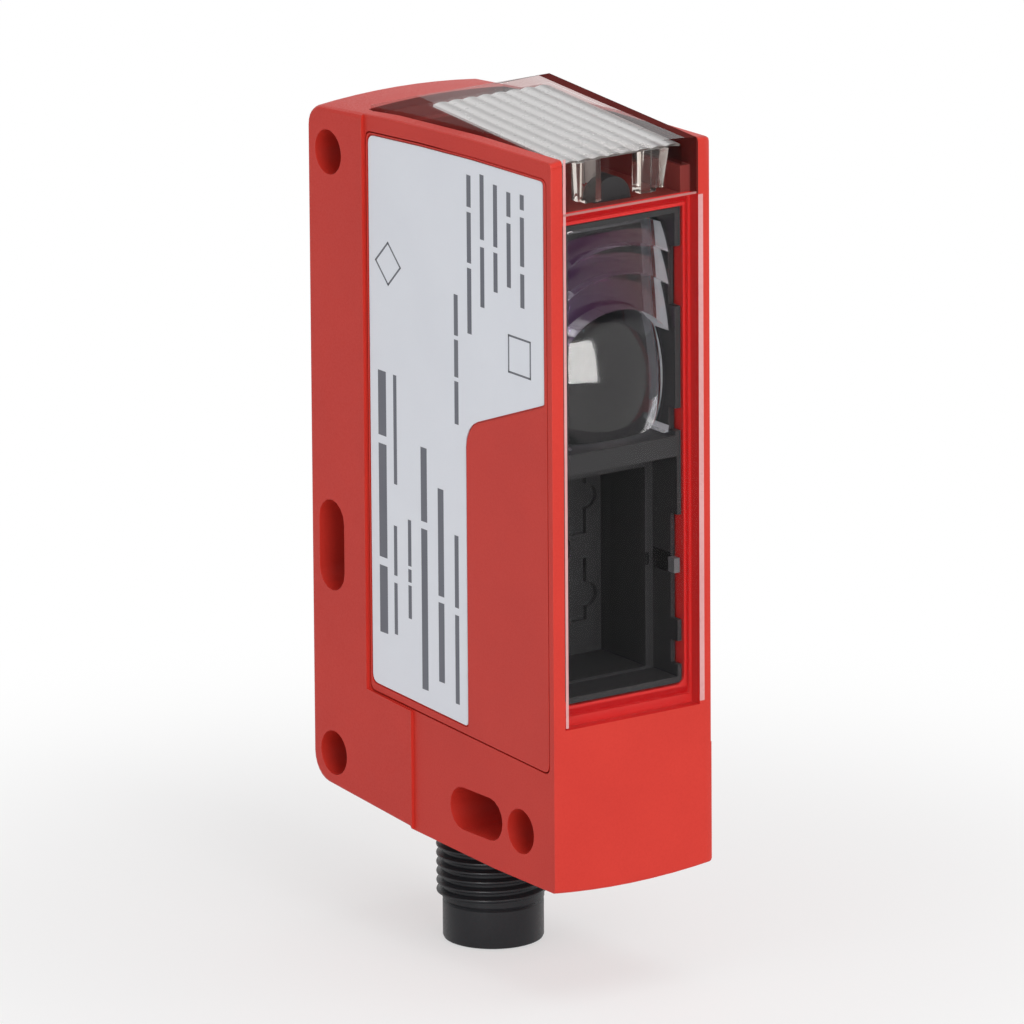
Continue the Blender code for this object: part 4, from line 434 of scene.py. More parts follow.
print_shape = bmesh.new()
for rear, front, low, high, words in PRINT_LINES:
    space = (high - low - sum(words)) / max(len(words) - 1, 1)
    foot = low
    thin = (rear - front) * PRINT_THINNING
    for word in words:
        ink(print_shape, rear - thin, front + thin, foot, foot + word)
        foot += word + space
ink_frame(print_shape, -10.35, 22.65, 3.4, 0.22, 45.0)
ink_frame(print_shape, -34.15, 17.6, 4.1, 0.22, 0.0)
label_print = new_piece("label_print", print_shape, "sensor")
print_ink = moulded_plastic(
    "print ink", PRINT_GREY, (0.15, 0.155, 0.18, 1.0), 0.35, 0.5, 7000.0, 0.001 * MM, 0.1
)
paint(label_print, print_ink)

# ---------------------------------------------------------------- Window cover
# Front pane and indicator roof in one piece of clear polycarbonate, bonded to
# the bezel. Its tool is polished, so only its edges scatter light, and its gloss
# varies a little, as on any moulded window.
CLEAR_INDEX = 1.10
PANE_EDGE = -18.30
PANE_SKIN = -39.7
PANE_TOP_STRIP = 33.65
ROOF_EDGE = -3.30
ROOF_LOW = 37.0


def clear_plastic(
    name, tint, roughness, index, gloss_index=0.0, wave=900.0, film=0.0, film_index=1.33
):
    """Transparent plastic or glass that lets lamp light through to what is behind it.

    With a gloss index it is a thin wall, which reflects but doesn't bend what lies behind.
    """
    made = bpy.data.materials.new(name)
    made.use_nodes = True
    made.diffuse_color = (*tint[:3], 0.3)
    nodes, links = made.node_tree.nodes, made.node_tree.links
    shader = nodes["Principled BSDF"]
    shader.inputs["Base Color"].default_value = tint
    shader.inputs["Transmission Weight"].default_value = 1.0
    shader.inputs["IOR"].default_value = index
    shader.inputs["Thin Film Thickness"].default_value = film
    shader.inputs["Thin Film IOR"].default_value = film_index
    place = nodes.new("ShaderNodeTexCoord")
    haze = nodes.new("ShaderNodeTexNoise")
    haze.inputs["Scale"].default_value = wave
    haze.inputs["Detail"].default_value = 2.0
    links.new(place.outputs["Object"], haze.inputs["Vector"])
    polish = nodes.new("ShaderNodeMapRange")
    polish.inputs["To Min"].default_value = roughness * 0.6
    polish.inputs["To Max"].default_value = roughness * 1.4
    links.new(haze.outputs["Fac"], polish.inputs["Value"])
    links.new(polish.outputs["Result"], shader.inputs["Roughness"])
    passing = nodes.new("ShaderNodeBsdfTransparent")
    passing.inputs["Color"].default_value = tint
    ray = nodes.new("ShaderNodeLightPath")
    unseen = nodes.new("ShaderNodeMath")
    unseen.operation = "MAXIMUM"
    links.new(ray.outputs["Is Shadow Ray"], unseen.inputs[0])
    links.new(ray.outputs["Is Diffuse Ray"], unseen.inputs[1])
    wall = shader.outputs["BSDF"]
    if gloss_index:
        thin = nodes.new("ShaderNodeMixShader")
        thin.inputs[0].default_value = 0.94
        links.new(wall, thin.inputs[1])
        links.new(passing.outputs["BSDF"], thin.inputs[2])
        mirror = nodes.new("ShaderNodeBsdfGlossy")
        mirror.inputs["Roughness"].default_value = roughness
        edge_on = nodes.new("ShaderNodeFresnel")
        edge_on.inputs["IOR"].default_value = gloss_index
        side = nodes.new("ShaderNodeNewGeometry")
        outer = nodes.new("ShaderNodeMath")
        outer.operation = "SUBTRACT"
        outer.inputs[0].default_value = 1.0
        links.new(side.outputs["Backfacing"], outer.inputs[1])
        share = nodes.new("ShaderNodeMath")
        share.operation = "MULTIPLY"
        links.new(edge_on.outputs["Fac"], share.inputs[0])
        links.new(outer.outputs["Value"], share.inputs[1])
        glossed = nodes.new("ShaderNodeMixShader")
        links.new(share.outputs["Value"], glossed.inputs[0])
        links.new(thin.outputs["Shader"], glossed.inputs[1])
        links.new(mirror.outputs["BSDF"], glossed.inputs[2])
        wall = glossed.outputs["Shader"]
    either = nodes.new("ShaderNodeMixShader")
    links.new(unseen.outputs["Value"], either.inputs[0])
    links.new(wall, either.inputs[1])
    links.new(passing.outputs["BSDF"], either.inputs[2])
    links.new(either.outputs["Shader"], nodes["Material Output"].inputs["Surface"])
    return made


pane_clear = clear_plastic("clear pane", (0.975, 0.97, 0.965, 1.0), 0.012, CLEAR_INDEX, 1.15)
roof_clear = clear_plastic("clear roof", (0.97, 0.96, 0.955, 1.0), 0.03, CLEAR_INDEX, 1.30)
# The roof's rear and side faces are tinted brownish red to darken what lies under them: painted shade.
roof_rear_shade_tint = clear_plastic("clear roof rear, painted shade tint", (0.86, 0.77, 0.76, 1.0), 0.05, CLEAR_INDEX, 1.15)
roof_side_shade_tint = clear_plastic("clear roof side, painted shade tint", (0.64, 0.44, 0.43, 1.0), 0.03, CLEAR_INDEX, 1.2)
weld_line = moulded_plastic(
    "weld line", (0.44, 0.17, 0.16, 1.0), (0.36, 0.12, 0.11, 1.0),
    0.25, 0.4, 1600.0, 0.004 * MM, 0.3,
)
# Dark red band along the roof's right edge: painted shade for the shaded wall under it.
roof_edge_shade = moulded_plastic(
    "roof edge painted shade", (0.15, 0.030, 0.028, 1.0), (0.10, 0.018, 0.016, 1.0),
    0.3, 0.5, 700.0, 0.004 * MM, 0.2, 0.0,
)
cover_shape = joined_shape("window_cover")
cheeks = faces_within(cover_shape, (-19.0, -23.0, 5.0), (-1.0, -22.0, 15.0))
score(cover_shape, cheeks, (0, 0, SHELF_TOP), (0, 0, 1))
roof_right = faces_within(cover_shape, (-5.0, -45.0, ROOF_LOW), (-1.0, 0.0, ABOVE_ALL))
score(cover_shape, roof_right, (ROOF_EDGE, 0, 0), (1, 0, 0))
pane_low, pane_high = (-19.0, -40.05, -22.0), (-1.0, -38.7, ABOVE_ALL)
for point, outward in (
    ((PANE_EDGE, 0, 0), (1, 0, 0)), ((0, 0, SHELF_TOP), (0, 0, 1)), ((0, 0, PANE_TOP_STRIP), (0, 0, 1)),
):
    score(cover_shape, faces_within(cover_shape, pane_low, pane_high), point, outward)
for face in cover_shape.faces:
    middle = face.calc_center_bounds() / MM
    if middle.z > SHELF_TOP and face.normal.y > -0.9:
        face.material_index = 1
    # The pane's left edge strip takes the pale pink painted sheen.
    if middle.y < PANE_SKIN and middle.x < PANE_EDGE:
        face.material_index = 2
    if middle.y < PANE_SKIN and SHELF_TOP - 0.01 < middle.z < PANE_TOP_STRIP:
        face.material_index = 4
    if middle.z > SHELF_TOP and abs(face.normal.x) > 0.9 and middle.x > WIDTH_MID / MM:
        face.material_index = 3
    if middle.z > ROOF_LOW and face.normal.y > 0.2:
        face.material_index = 6
    # The roof's top right of its edge takes the dark painted shade band.
    if middle.z > ROOF_LOW and middle.x > ROOF_EDGE and face.normal.z > 0.5:
        face.material_index = 5
window_cover = new_piece(
    "window_cover_look", cover_shape, "sensor", ["window_cover"]
)
soften_edges(window_cover, 0.10 * MM)
paint(window_cover, pane_clear, roof_clear, pale_edge_sheen, roof_side_shade_tint, weld_line, roof_edge_shade, roof_rear_shade_tint)

# ---------------------------------------------------------------- Light guide
# Ribbed plate in milky clear plastic under the roof, with two legs over the
# lamps. The roof is thick and seen at a low angle, so its refraction shows the
# plate lifted and widened: the plate has that shape here.
GUIDE_FRONT_Y, GUIDE_FRONT_Z, GUIDE_REAR_Y = -37.5, 37.58, -15.2
GUIDE_SLOPE = 1.9 / 26.2
GUIDE_TOP, GUIDE_BASE, GUIDE_FLATTEN = 1.05, 0.8, 0.35
GUIDE_STRETCH, GUIDE_SPREAD = 1.05, 1.09
GUIDE_LEG_TOP, GUIDE_SIDE, GUIDE_FRONT_LIMIT = 36.4, 6.0, -38.7
RIB_ROOT, PLATE_UNDERSIDE = -0.6, -1.5
RIB_PITCH = 13.4 * GUIDE_SPREAD / 8 * MM
guide_milk = clear_plastic("light guide", (0.62, 0.62, 0.63, 1.0), 0.30, 1.49)
guide_milk.node_tree.nodes["Principled BSDF"].inputs["Transmission Weight"].default_value = 0.2
nodes, links = guide_milk.node_tree.nodes, guide_milk.node_tree.links
# Darker bands between the ribs: painted shade.
place = nodes.new("ShaderNodeTexCoord")
rib_shade_bands = nodes.new("ShaderNodeTexWave")
rib_shade_bands.bands_direction = "X"
rib_shade_bands.inputs["Scale"].default_value = math.pi / (10 * RIB_PITCH)
rib_shade_bands.inputs["Distortion"].default_value = 0.6
rib_shade_bands.inputs["Detail"].default_value = 1.0
rib_shade_bands.inputs["Detail Scale"].default_value = 0.5
links.new(place.outputs["Object"], rib_shade_bands.inputs["Vector"])
tone = nodes.new("ShaderNodeMix")
tone.data_type = "RGBA"
tone.inputs[6].default_value = (0.36, 0.36, 0.365, 1.0)
tone.inputs[7].default_value = (0.78, 0.78, 0.785, 1.0)
links.new(rib_shade_bands.outputs["Fac"], tone.inputs["Factor"])
links.new(tone.outputs[2], nodes["Principled BSDF"].inputs["Base Color"])
guide_clear = clear_plastic("light guide legs", (0.93, 0.89, 0.84, 1.0), 0.04, 1.36)
guide_shape = joined_shape("light_guide")
number_faces(faces_within(guide_shape, (-20, -41, 33.0), (0, -34.5, GUIDE_LEG_TOP)), 1)
front_end = faces_within(guide_shape, (-20, -38.5, GUIDE_LEG_TOP), (0, -37.4, 39.0))
number_faces([face for face in front_end if face.normal.y < -0.5], 1)
for vert in guide_shape.verts:
    spot = vert.co / MM
    height = spot.z - GUIDE_FRONT_Z - (spot.y - GUIDE_FRONT_Y) * GUIDE_SLOPE
    if height > PLATE_UNDERSIDE:
        across = spot.x - WIDTH_MID / MM
        if height > RIB_ROOT or abs(across) > GUIDE_SIDE:
            stretched = GUIDE_REAR_Y + (spot.y - GUIDE_REAR_Y) * GUIDE_STRETCH
            spot.y = max(GUIDE_FRONT_LIMIT, stretched)
            spot.x += across * (GUIDE_SPREAD - 1)
        height = GUIDE_TOP + height * GUIDE_FLATTEN if height > RIB_ROOT else GUIDE_BASE
        spot.z = GUIDE_FRONT_Z + (spot.y - GUIDE_FRONT_Y) * GUIDE_SLOPE + height
        vert.co = spot * MM
light_guide = new_piece(
    "light_guide_look", guide_shape, "sensor", ["light_guide"]
)
soften_edges(light_guide, 0.08 * MM)
paint(light_guide, guide_milk, guide_clear)

# ---------------------------------------------------------------- Optics frame
# Matt black frame behind the pane: lens seat above, beam chamber below, with
# stepped side walls, pockets and clip notches. Black keeps stray light away
# from the receiver.
BLACK = (0.026, 0.026, 0.028, 1.0)
WORN_BLACK = (0.034, 0.034, 0.037, 1.0)
frame_black = moulded_plastic(
    "black frame", BLACK, WORN_BLACK, 0.42, 0.55, 2600.0, 0.002 * MM, 0.1, 0.25
)
# Deeper black for the light tunnel, the slot and the sheet at the step: painted shade.
tunnel_shade_black = moulded_plastic(
    "light tunnel painted shade black", (0.005, 0.005, 0.006, 1.0), (0.007, 0.007, 0.008, 1.0),
    0.7, 0.85, 2600.0, 0.002 * MM, 0.1, 0.15,
)
light_grey_block = moulded_plastic(
    "light grey block", (0.11, 0.11, 0.12, 1.0), (0.15, 0.15, 0.16, 1.0),
    0.4, 0.5, 2600.0, 0.002 * MM, 0.2, 0.4,
)
# Lighter grey on the step's front face: painted light.
step_lit_grey = moulded_plastic(
    "step face painted light grey", (0.055, 0.055, 0.058, 1.0), (0.07, 0.07, 0.074, 1.0),
    0.4, 0.5, 2600.0, 0.002 * MM, 0.1, 0.4,
)
WALL_X, STEP_X, STEP_Y = -3.30, -4.25, -34.0
SLOT_HIGH, SLOT_LOW, SLOT_DEPTH = -5.30, -7.50, 0.40

frame_shape = joined_shape("optics_frame")
wall_low, wall_high = (WALL_X - 0.02, -38.5, -19.0), (WALL_X + 0.02, STEP_Y + 0.1, 5.5)
step_low = (STEP_X - 0.02, STEP_Y - 0.02, -19.0)
step_high = (WALL_X + 0.02, STEP_Y + 0.02, 5.5)
for height in (SLOT_HIGH, SLOT_LOW):
    score(frame_shape, faces_within(frame_shape, wall_low, wall_high), (0, 0, height), (0, 0, 1))
    score(frame_shape, faces_within(frame_shape, step_low, step_high), (0, 0, height), (0, 0, 1))
slot = faces_within(
    frame_shape, (wall_low[0], -38.5, SLOT_LOW), (wall_high[0], STEP_Y + 0.1, SLOT_HIGH)
)
slot_walls = bmesh.ops.inset_region(
    frame_shape, faces=slot, thickness=0.02 * MM, depth=-SLOT_DEPTH * MM, use_even_offset=True
)["faces"]
# The step's faces take the painted light grey.
number_faces(faces_within(frame_shape, step_low, step_high), 3)
# The tunnel and the slot take the painted shade black.
tunnel = faces_within(frame_shape, (-20, STEP_Y - 0.1, 7.6), (0, 5, 34.0))
slot_end = faces_within(
    frame_shape, (step_low[0], step_low[1], SLOT_LOW), (step_high[0], step_high[1], SLOT_HIGH)
)
number_faces(tunnel + slot + slot_walls + slot_end, 1)

# The wall behind the step is plain. A thin sheet in the painted shade black lies at the step at the
# slot's height, and a small light grey block stands at the slot's mouth.
FILL_RIGHT, FILL_LOW, FILL_HIGH = -3.74, -7.26, -5.84
block(frame_shape, (STEP_X - 0.01, -33.9, FILL_LOW), (FILL_RIGHT, -27.39, FILL_HIGH))
block(frame_shape, (STEP_X + 0.01, -33.97, FILL_LOW), (FILL_RIGHT, -33.85, FILL_HIGH), 1)
block(frame_shape, (-3.68, -38.35, -7.24), (-2.96, -37.3, -5.68), 2)
optics_frame = new_piece(
    "optics_frame_look", frame_shape, "sensor", ["optics_frame"]
)
soften_edges(optics_frame, 0.08 * MM)
paint(optics_frame, frame_black, tunnel_shade_black, light_grey_block, step_lit_grey)

# ---------------------------------------------------------------- Receiver lens
# Stepped lens in polished clear plastic, turned about its optical axis and cut
# to the opening: a strong central bulge, and above it the slices of three wider
# rings. A thin coating gives its steps a violet and blue cast.
LENS_BACK = -34.4 * MM
LENS_AXIS_Z = 13.6 * MM
LENS_REACH = 4.1 * MM
LENS_HALF_WIDTH = 6.45 * MM
LENS_LOW, LENS_HIGH = 7.8 * MM, 31.0 * MM
BULGE_RADIUS = 12.0 * MM
RING_RADII = (8.2 * MM, 11.9 * MM, 14.9 * MM, 17.6 * MM)
RING_SET = 0.8 * MM
RING_STEP = 1.4 * MM

outline = [(0.0, 0.0), (RING_RADII[-1], 0.0)]
ring_front = LENS_REACH - RING_SET
for near, far in reversed(list(zip(RING_RADII, RING_RADII[1:]))):
    for part in range(11):
        share = part / 10
        bow = 0.10 * MM * math.sin(math.pi * share)
        outline.append((far + (near - far) * share, ring_front - RING_STEP * (1 - share) + bow))
for part in range(25):
    radius = RING_RADII[0] * (1 - part / 24)
    sag = BULGE_RADIUS - math.sqrt(BULGE_RADIUS**2 - radius**2)
    outline.append((radius, LENS_REACH - sag))

lens_shape = bmesh.new()
points = [lens_shape.verts.new((WIDTH_MID + r, LENS_BACK - d, LENS_AXIS_Z)) for r, d in outline]
half_section = [lens_shape.edges.new(pair) for pair in zip(points, points[1:])]
bmesh.ops.spin(
    lens_shape,
    geom=points + half_section,
    cent=(WIDTH_MID, 0, LENS_AXIS_Z),
    axis=(0, 1, 0),
    angle=2 * math.pi,
    steps=180,
    use_merge=True,
)
bmesh.ops.remove_doubles(lens_shape, verts=lens_shape.verts, dist=0.001 * MM)
bmesh.ops.recalc_face_normals(lens_shape, faces=lens_shape.faces)
for point, outward in (
    ((WIDTH_MID + LENS_HALF_WIDTH, 0, 0), (1, 0, 0)),
    ((WIDTH_MID - LENS_HALF_WIDTH, 0, 0), (-1, 0, 0)),
    ((0, 0, LENS_HIGH), (0, 0, 1)),
    ((0, 0, LENS_LOW), (0, 0, -1)),
):
    everything = list(lens_shape.verts) + list(lens_shape.edges) + list(lens_shape.faces)
    trimmed = bmesh.ops.bisect_plane(
        lens_shape, geom=everything, dist=0.0001 * MM,
        plane_co=point, plane_no=outward, clear_outer=True,
    )
    cut_edges = [item for item in trimmed["geom_cut"] if isinstance(item, bmesh.types.BMEdge)]
    bmesh.ops.contextual_create(lens_shape, geom=cut_edges)
bmesh.ops.recalc_face_normals(lens_shape, faces=lens_shape.faces)
for face in lens_shape.faces:
    middle = face.calc_center_median()
    if abs(face.normal.x) > 0.99:
        face.material_index = 1
        continue
    off_axis = math.hypot(middle.x - WIDTH_MID, middle.z - LENS_AXIS_Z)
    if off_axis > RING_RADII[0] and face.normal.y < -0.5:
        face.material_index = 2
receiver_lens = new_piece(
    "receiver_lens_look", lens_shape, "sensor", ["receiver_lens"]
)
lens_clear = clear_plastic("lens plastic", (0.95, 0.95, 0.985, 1.0), 0.006, 1.38)
lens_side = moulded_plastic(
    "matt lens side", (0.86, 0.86, 0.88, 1.0), (0.74, 0.74, 0.76, 1.0),
    0.4, 0.6, 3000.0, 0.004 * MM, 0.3,
)
lens_rings = clear_plastic(
    "lens rings", (0.95, 0.95, 0.985, 1.0), 0.006, 1.26, film=400.0, film_index=1.40
)
paint(receiver_lens, lens_clear, lens_side, lens_rings)

# ---------------------------------------------------------------- Emitter
# Black anodised barrel in the chamber's back wall, with a coated collimator
# lens in its nose. The laser diode's gold-plated can sits in its rear end and
# is soldered to a small board of its own.


def turned_metal(name, colour, roughness, axis, scale=2600.0, depth=0.004 * MM, metallic=1.0):
    """Metal with the fine rings that a lathe leaves round the given axis."""
    made = bpy.data.materials.new(name)
    made.use_nodes = True
    made.diffuse_color = colour
    nodes, links = made.node_tree.nodes, made.node_tree.links
    shader = nodes["Principled BSDF"]
    shader.inputs["Metallic"].default_value = metallic
    place = nodes.new("ShaderNodeTexCoord")
    squeeze = nodes.new("ShaderNodeMapping")
    squeeze.inputs["Scale"].default_value = [1.0 if way == axis else 0.08 for way in "XYZ"]
    lines = nodes.new("ShaderNodeTexNoise")
    lines.inputs["Scale"].default_value = scale
    lines.inputs["Detail"].default_value = 2.0
    links.new(place.outputs["Object"], squeeze.inputs["Vector"])
    links.new(squeeze.outputs["Vector"], lines.inputs["Vector"])
    tone = nodes.new("ShaderNodeMix")
    tone.data_type = "RGBA"
    tone.inputs[6].default_value = colour
    tone.inputs[7].default_value = (*[channel * 0.72 for channel in colour[:3]], 1.0)
    links.new(lines.outputs["Fac"], tone.inputs["Factor"])
    links.new(tone.outputs[2], shader.inputs["Base Color"])
    polish = nodes.new("ShaderNodeMapRange")
    polish.inputs["To Min"].default_value = roughness * 0.7
    polish.inputs["To Max"].default_value = roughness * 1.3
    links.new(lines.outputs["Fac"], polish.inputs["Value"])
    links.new(polish.outputs["Result"], shader.inputs["Roughness"])
    relief = nodes.new("ShaderNodeBump")
    relief.inputs["Strength"].default_value = 0.4
    relief.inputs["Distance"].default_value = depth
    links.new(lines.outputs["Fac"], relief.inputs["Height"])
    links.new(relief.outputs["Normal"], shader.inputs["Normal"])
    return made


def give(material, *names):
    """One material to CAD nodes that keep their own shape."""
    for name in names:
        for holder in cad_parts[name].material_slots:
            holder.material = material


give(turned_metal("black anodised", (0.03, 0.03, 0.033, 1.0), 0.35, "Y", metallic=0.6), "emitter_barrel")
give(
    clear_plastic("coated glass", (0.90, 0.92, 1.0, 1.0), 0.004, 1.52, film=420.0, film_index=2.0),
    "collimator_lens",
)
give(turned_metal("gold plated can", (0.78, 0.60, 0.28, 1.0), 0.22, "Y"), "emitter_diode")

# ---------------------------------------------------------------- Circuit boards
# Green lacquered glass-fibre laminate. The long main board stands behind the
# side cover on two small screws, and the receiver, emitter, indicator and plug
# boards are joined to it. Each part sits in its place as the CAD has it.
LACQUER = (0.012, 0.125, 0.045, 1.0)
COPPER_UNDER = (0.022, 0.19, 0.075, 1.0)


def lacquered_board():
    """Solder lacquer over copper: straight traces show as a lighter green."""
    made = bpy.data.materials.new("board laminate")
    made.use_nodes = True
    made.diffuse_color = LACQUER
    nodes, links = made.node_tree.nodes, made.node_tree.links
    shader = nodes["Principled BSDF"]
    shader.inputs["Coat Weight"].default_value = 0.4
    place = nodes.new("ShaderNodeTexCoord")
    traces = nodes.new("ShaderNodeTexBrick")
    traces.inputs["Scale"].default_value = 420.0
    traces.inputs["Mortar Size"].default_value = 0.05
    traces.inputs["Color1"].default_value = LACQUER
    traces.inputs["Color2"].default_value = (0.014, 0.14, 0.05, 1.0)
    traces.inputs["Mortar"].default_value = COPPER_UNDER
    turn = nodes.new("ShaderNodeMapping")
    turn.inputs["Rotation"].default_value = (0.0, math.radians(90), 0.0)
    links.new(place.outputs["Object"], turn.inputs["Vector"])
    links.new(turn.outputs["Vector"], traces.inputs["Vector"])
    links.new(traces.outputs["Color"], shader.inputs["Base Color"])
    weave = nodes.new("ShaderNodeTexNoise")
    weave.inputs["Scale"].default_value = 3000.0
    links.new(place.outputs["Object"], weave.inputs["Vector"])
    polish = nodes.new("ShaderNodeMapRange")
    polish.inputs["To Min"].default_value = 0.25
    polish.inputs["To Max"].default_value = 0.45
    links.new(weave.outputs["Fac"], polish.inputs["Value"])
    links.new(polish.outputs["Result"], shader.inputs["Roughness"])
    return made


give(
    lacquered_board(),
    "main_board", "receiver_board", "emitter_board", "indicator_board", "connector_board",
)
chip_black = moulded_plastic(
    "chip package", (0.028, 0.028, 0.030, 1.0), (0.04, 0.04, 0.042, 1.0),
    0.4, 0.6, 6000.0, 0.004 * MM, 0.4,
)
give(chip_black, "controller_chip", "voltage_regulator", "receiver_diode")
capacitor_tan = moulded_plastic(
    "capacitor body", (0.52, 0.38, 0.20, 1.0), (0.42, 0.30, 0.15, 1.0),
    0.35, 0.5, 5000.0, 0.003 * MM, 0.3,
)
give(capacitor_tan, "capacitor_1", "capacitor_2")
give(turned_metal("screw steel", (0.62, 0.62, 0.62, 1.0), 0.3, "X"), "board_screw_1", "board_screw_2")
amber_film = moulded_plastic(
    "lead film", (0.52, 0.27, 0.06, 1.0), (0.44, 0.22, 0.05, 1.0),
    0.25, 0.4, 4000.0, 0.002 * MM, 0.2,
)
give(amber_film, "flex_lead")

# ---------------------------------------------------------------- Indicator lamps
# Two square clear-lensed lamps under the light guide's legs, one green and one
# yellow. They are off, so only the colour of their resin shows.
give(clear_plastic("green lamp resin", (0.25, 0.85, 0.35, 1.0), 0.15, 1.5), "green_lamp")
give(clear_plastic("yellow lamp resin", (0.95, 0.75, 0.20, 1.0), 0.15, 1.5), "yellow_lamp")

# ---------------------------------------------------------------- Range adjustment
# Brass spindle with a screwdriver slot, its head flush in the rear face and
# sealed by an O-ring. It drives a pale plastic nut, whose grooves tilt the black
# lever that carries the receiver's mirror.
spindle_brass = turned_metal("spindle brass", (0.76, 0.58, 0.30, 1.0), 0.26, "Y")
give(spindle_brass, "range_spindle")
give(turned_metal("spring steel", (0.40, 0.40, 0.42, 1.0), 0.32, "Y"), "spindle_clip")
nut_white = moulded_plastic(
    "nut plastic", (0.72, 0.71, 0.67, 1.0), (0.64, 0.63, 0.59, 1.0),
    0.35, 0.5, 4500.0, 0.006 * MM, 0.4,
)
give(nut_white, "adjusting_nut")
give(frame_black, "mirror_lever")
give(turned_metal("pin steel", (0.60, 0.60, 0.61, 1.0), 0.22, "X"), "lever_pin")
mirror_glass = turned_metal(
    "filter mirror glass", (0.07, 0.06, 0.09, 1.0), 0.06, "Y", 800.0, 0.0002 * MM
)
give(mirror_glass, "receiver_mirror")
seal_rubber = moulded_plastic(
    "seal rubber", (0.018, 0.018, 0.019, 1.0), (0.028, 0.028, 0.028, 1.0),
    0.55, 0.75, 5200.0, 0.006 * MM, 0.5,
)
give(seal_rubber, "spindle_seal", "connector_seal")

# ---------------------------------------------------------------- Plug
# M12 plug in dark grey glass-filled plastic: a right-hand thread of 1 mm pitch
# on the outside, a plain collar below it, and a keyed socket with four gold
# pins. A brass nut inside the housing holds it.
PLUG_Y = -14.5 * MM
PLUG_END = -51.1 * MM
PLUG_CREST = 6.0 * MM
PLUG_ROOT = 5.4 * MM
PLUG_COLLAR = 5.35 * MM
PLUG_BORE = 4.2 * MM
PLUG_NECK = 5.05 * MM
PLUG_SEAT = -36.9 * MM
PLUG_TOP = -26.2 * MM
COLLAR_TOP = -46.9 * MM
THREAD_PITCH = 1.0 * MM
THREAD_TURNS = 9
TURN_STEPS = 72
PLUG_GREY = (0.018, 0.019, 0.022, 1.0)

plug_shape = bmesh.new()
plug_outline = (
    (PLUG_NECK, PLUG_TOP), (PLUG_NECK, PLUG_SEAT), (PLUG_ROOT, PLUG_SEAT),
    (PLUG_ROOT, COLLAR_TOP + 0.35 * MM), (PLUG_COLLAR - 0.2 * MM, COLLAR_TOP + 0.1 * MM),
    (PLUG_COLLAR, COLLAR_TOP - 0.1 * MM), (PLUG_COLLAR, PLUG_END + 0.35 * MM),
    (PLUG_COLLAR - 0.12 * MM, PLUG_END + 0.1 * MM), (PLUG_COLLAR - 0.35 * MM, PLUG_END),
    (PLUG_BORE + 0.3 * MM, PLUG_END), (PLUG_BORE, PLUG_END + 0.3 * MM), (PLUG_BORE, PLUG_TOP),
)
ring = [plug_shape.verts.new((WIDTH_MID + r, PLUG_Y, z)) for r, z in plug_outline]
section = [plug_shape.edges.new(pair) for pair in zip(ring, ring[1:] + ring[:1])]
bmesh.ops.spin(
    plug_shape,
    geom=ring + section,
    cent=(WIDTH_MID, PLUG_Y, 0),
    axis=(0, 0, 1),
    angle=2 * math.pi,
    steps=96,
    use_merge=True,
)
bmesh.ops.remove_doubles(plug_shape, verts=plug_shape.verts, dist=0.001 * MM)
bmesh.ops.recalc_face_normals(plug_shape, faces=plug_shape.faces)

ridge_low = COLLAR_TOP + 0.15 * MM
ridge_outline = (
    (PLUG_ROOT - 0.15 * MM, -0.46), (PLUG_CREST - 0.03 * MM, -0.10),
    (PLUG_CREST, 0.0), (PLUG_CREST - 0.03 * MM, 0.10), (PLUG_ROOT - 0.15 * MM, 0.46),
)
ridge_points = [
    plug_shape.verts.new((WIDTH_MID + r, PLUG_Y, ridge_low + (0.5 + z) * THREAD_PITCH))
    for r, z in ridge_outline
]
ridge_face = plug_shape.faces.new(ridge_points)
bmesh.ops.spin(
    plug_shape,
    geom=ridge_points + list(ridge_face.edges) + [ridge_face],
    cent=(WIDTH_MID, PLUG_Y, 0),
    axis=(0, 0, 1),
    dvec=(0, 0, THREAD_PITCH / TURN_STEPS),
    angle=2 * math.pi * THREAD_TURNS,
    steps=TURN_STEPS * THREAD_TURNS,
    use_merge=False,
)
bmesh.ops.recalc_face_normals(plug_shape, faces=plug_shape.faces)

# Key inside the socket.
bmesh.ops.create_cube(
    plug_shape,
    size=1.0,
    matrix=Matrix.Translation((WIDTH_MID, PLUG_Y + PLUG_BORE - 0.1 * MM, PLUG_END + 4.65 * MM))
    @ Matrix.Diagonal((1.0 * MM, 0.8 * MM, 7.3 * MM, 1)),
)
plug_shell = new_piece(
    "connector_shell_look", plug_shape, "sensor", ["connector_shell"]
)
plug_plastic = moulded_plastic(
    "plug plastic", PLUG_GREY, (0.026, 0.027, 0.030, 1.0),
    0.30, 0.48, 4600.0, 0.008 * MM, 0.4, 0.2,
)
paint(plug_shell, plug_plastic)
give(plug_plastic, "contact_carrier")
contact_gold = turned_metal("contact gold", (0.86, 0.64, 0.28, 1.0), 0.2, "Z")
give(contact_gold, "contact_pin_1", "contact_pin_2", "contact_pin_3", "contact_pin_4")
give(turned_metal("nut brass", (0.74, 0.60, 0.34, 1.0), 0.3, "Z"), "connector_nut")

# ---------------------------------------------------------------- Studio
# The sensor stands on its plug on a white sweep. A large soft box faces the
# optics, a smaller one lights the label side, and a broad one hangs above.
FLOOR_Z = PLUG_END - 0.1 * MM


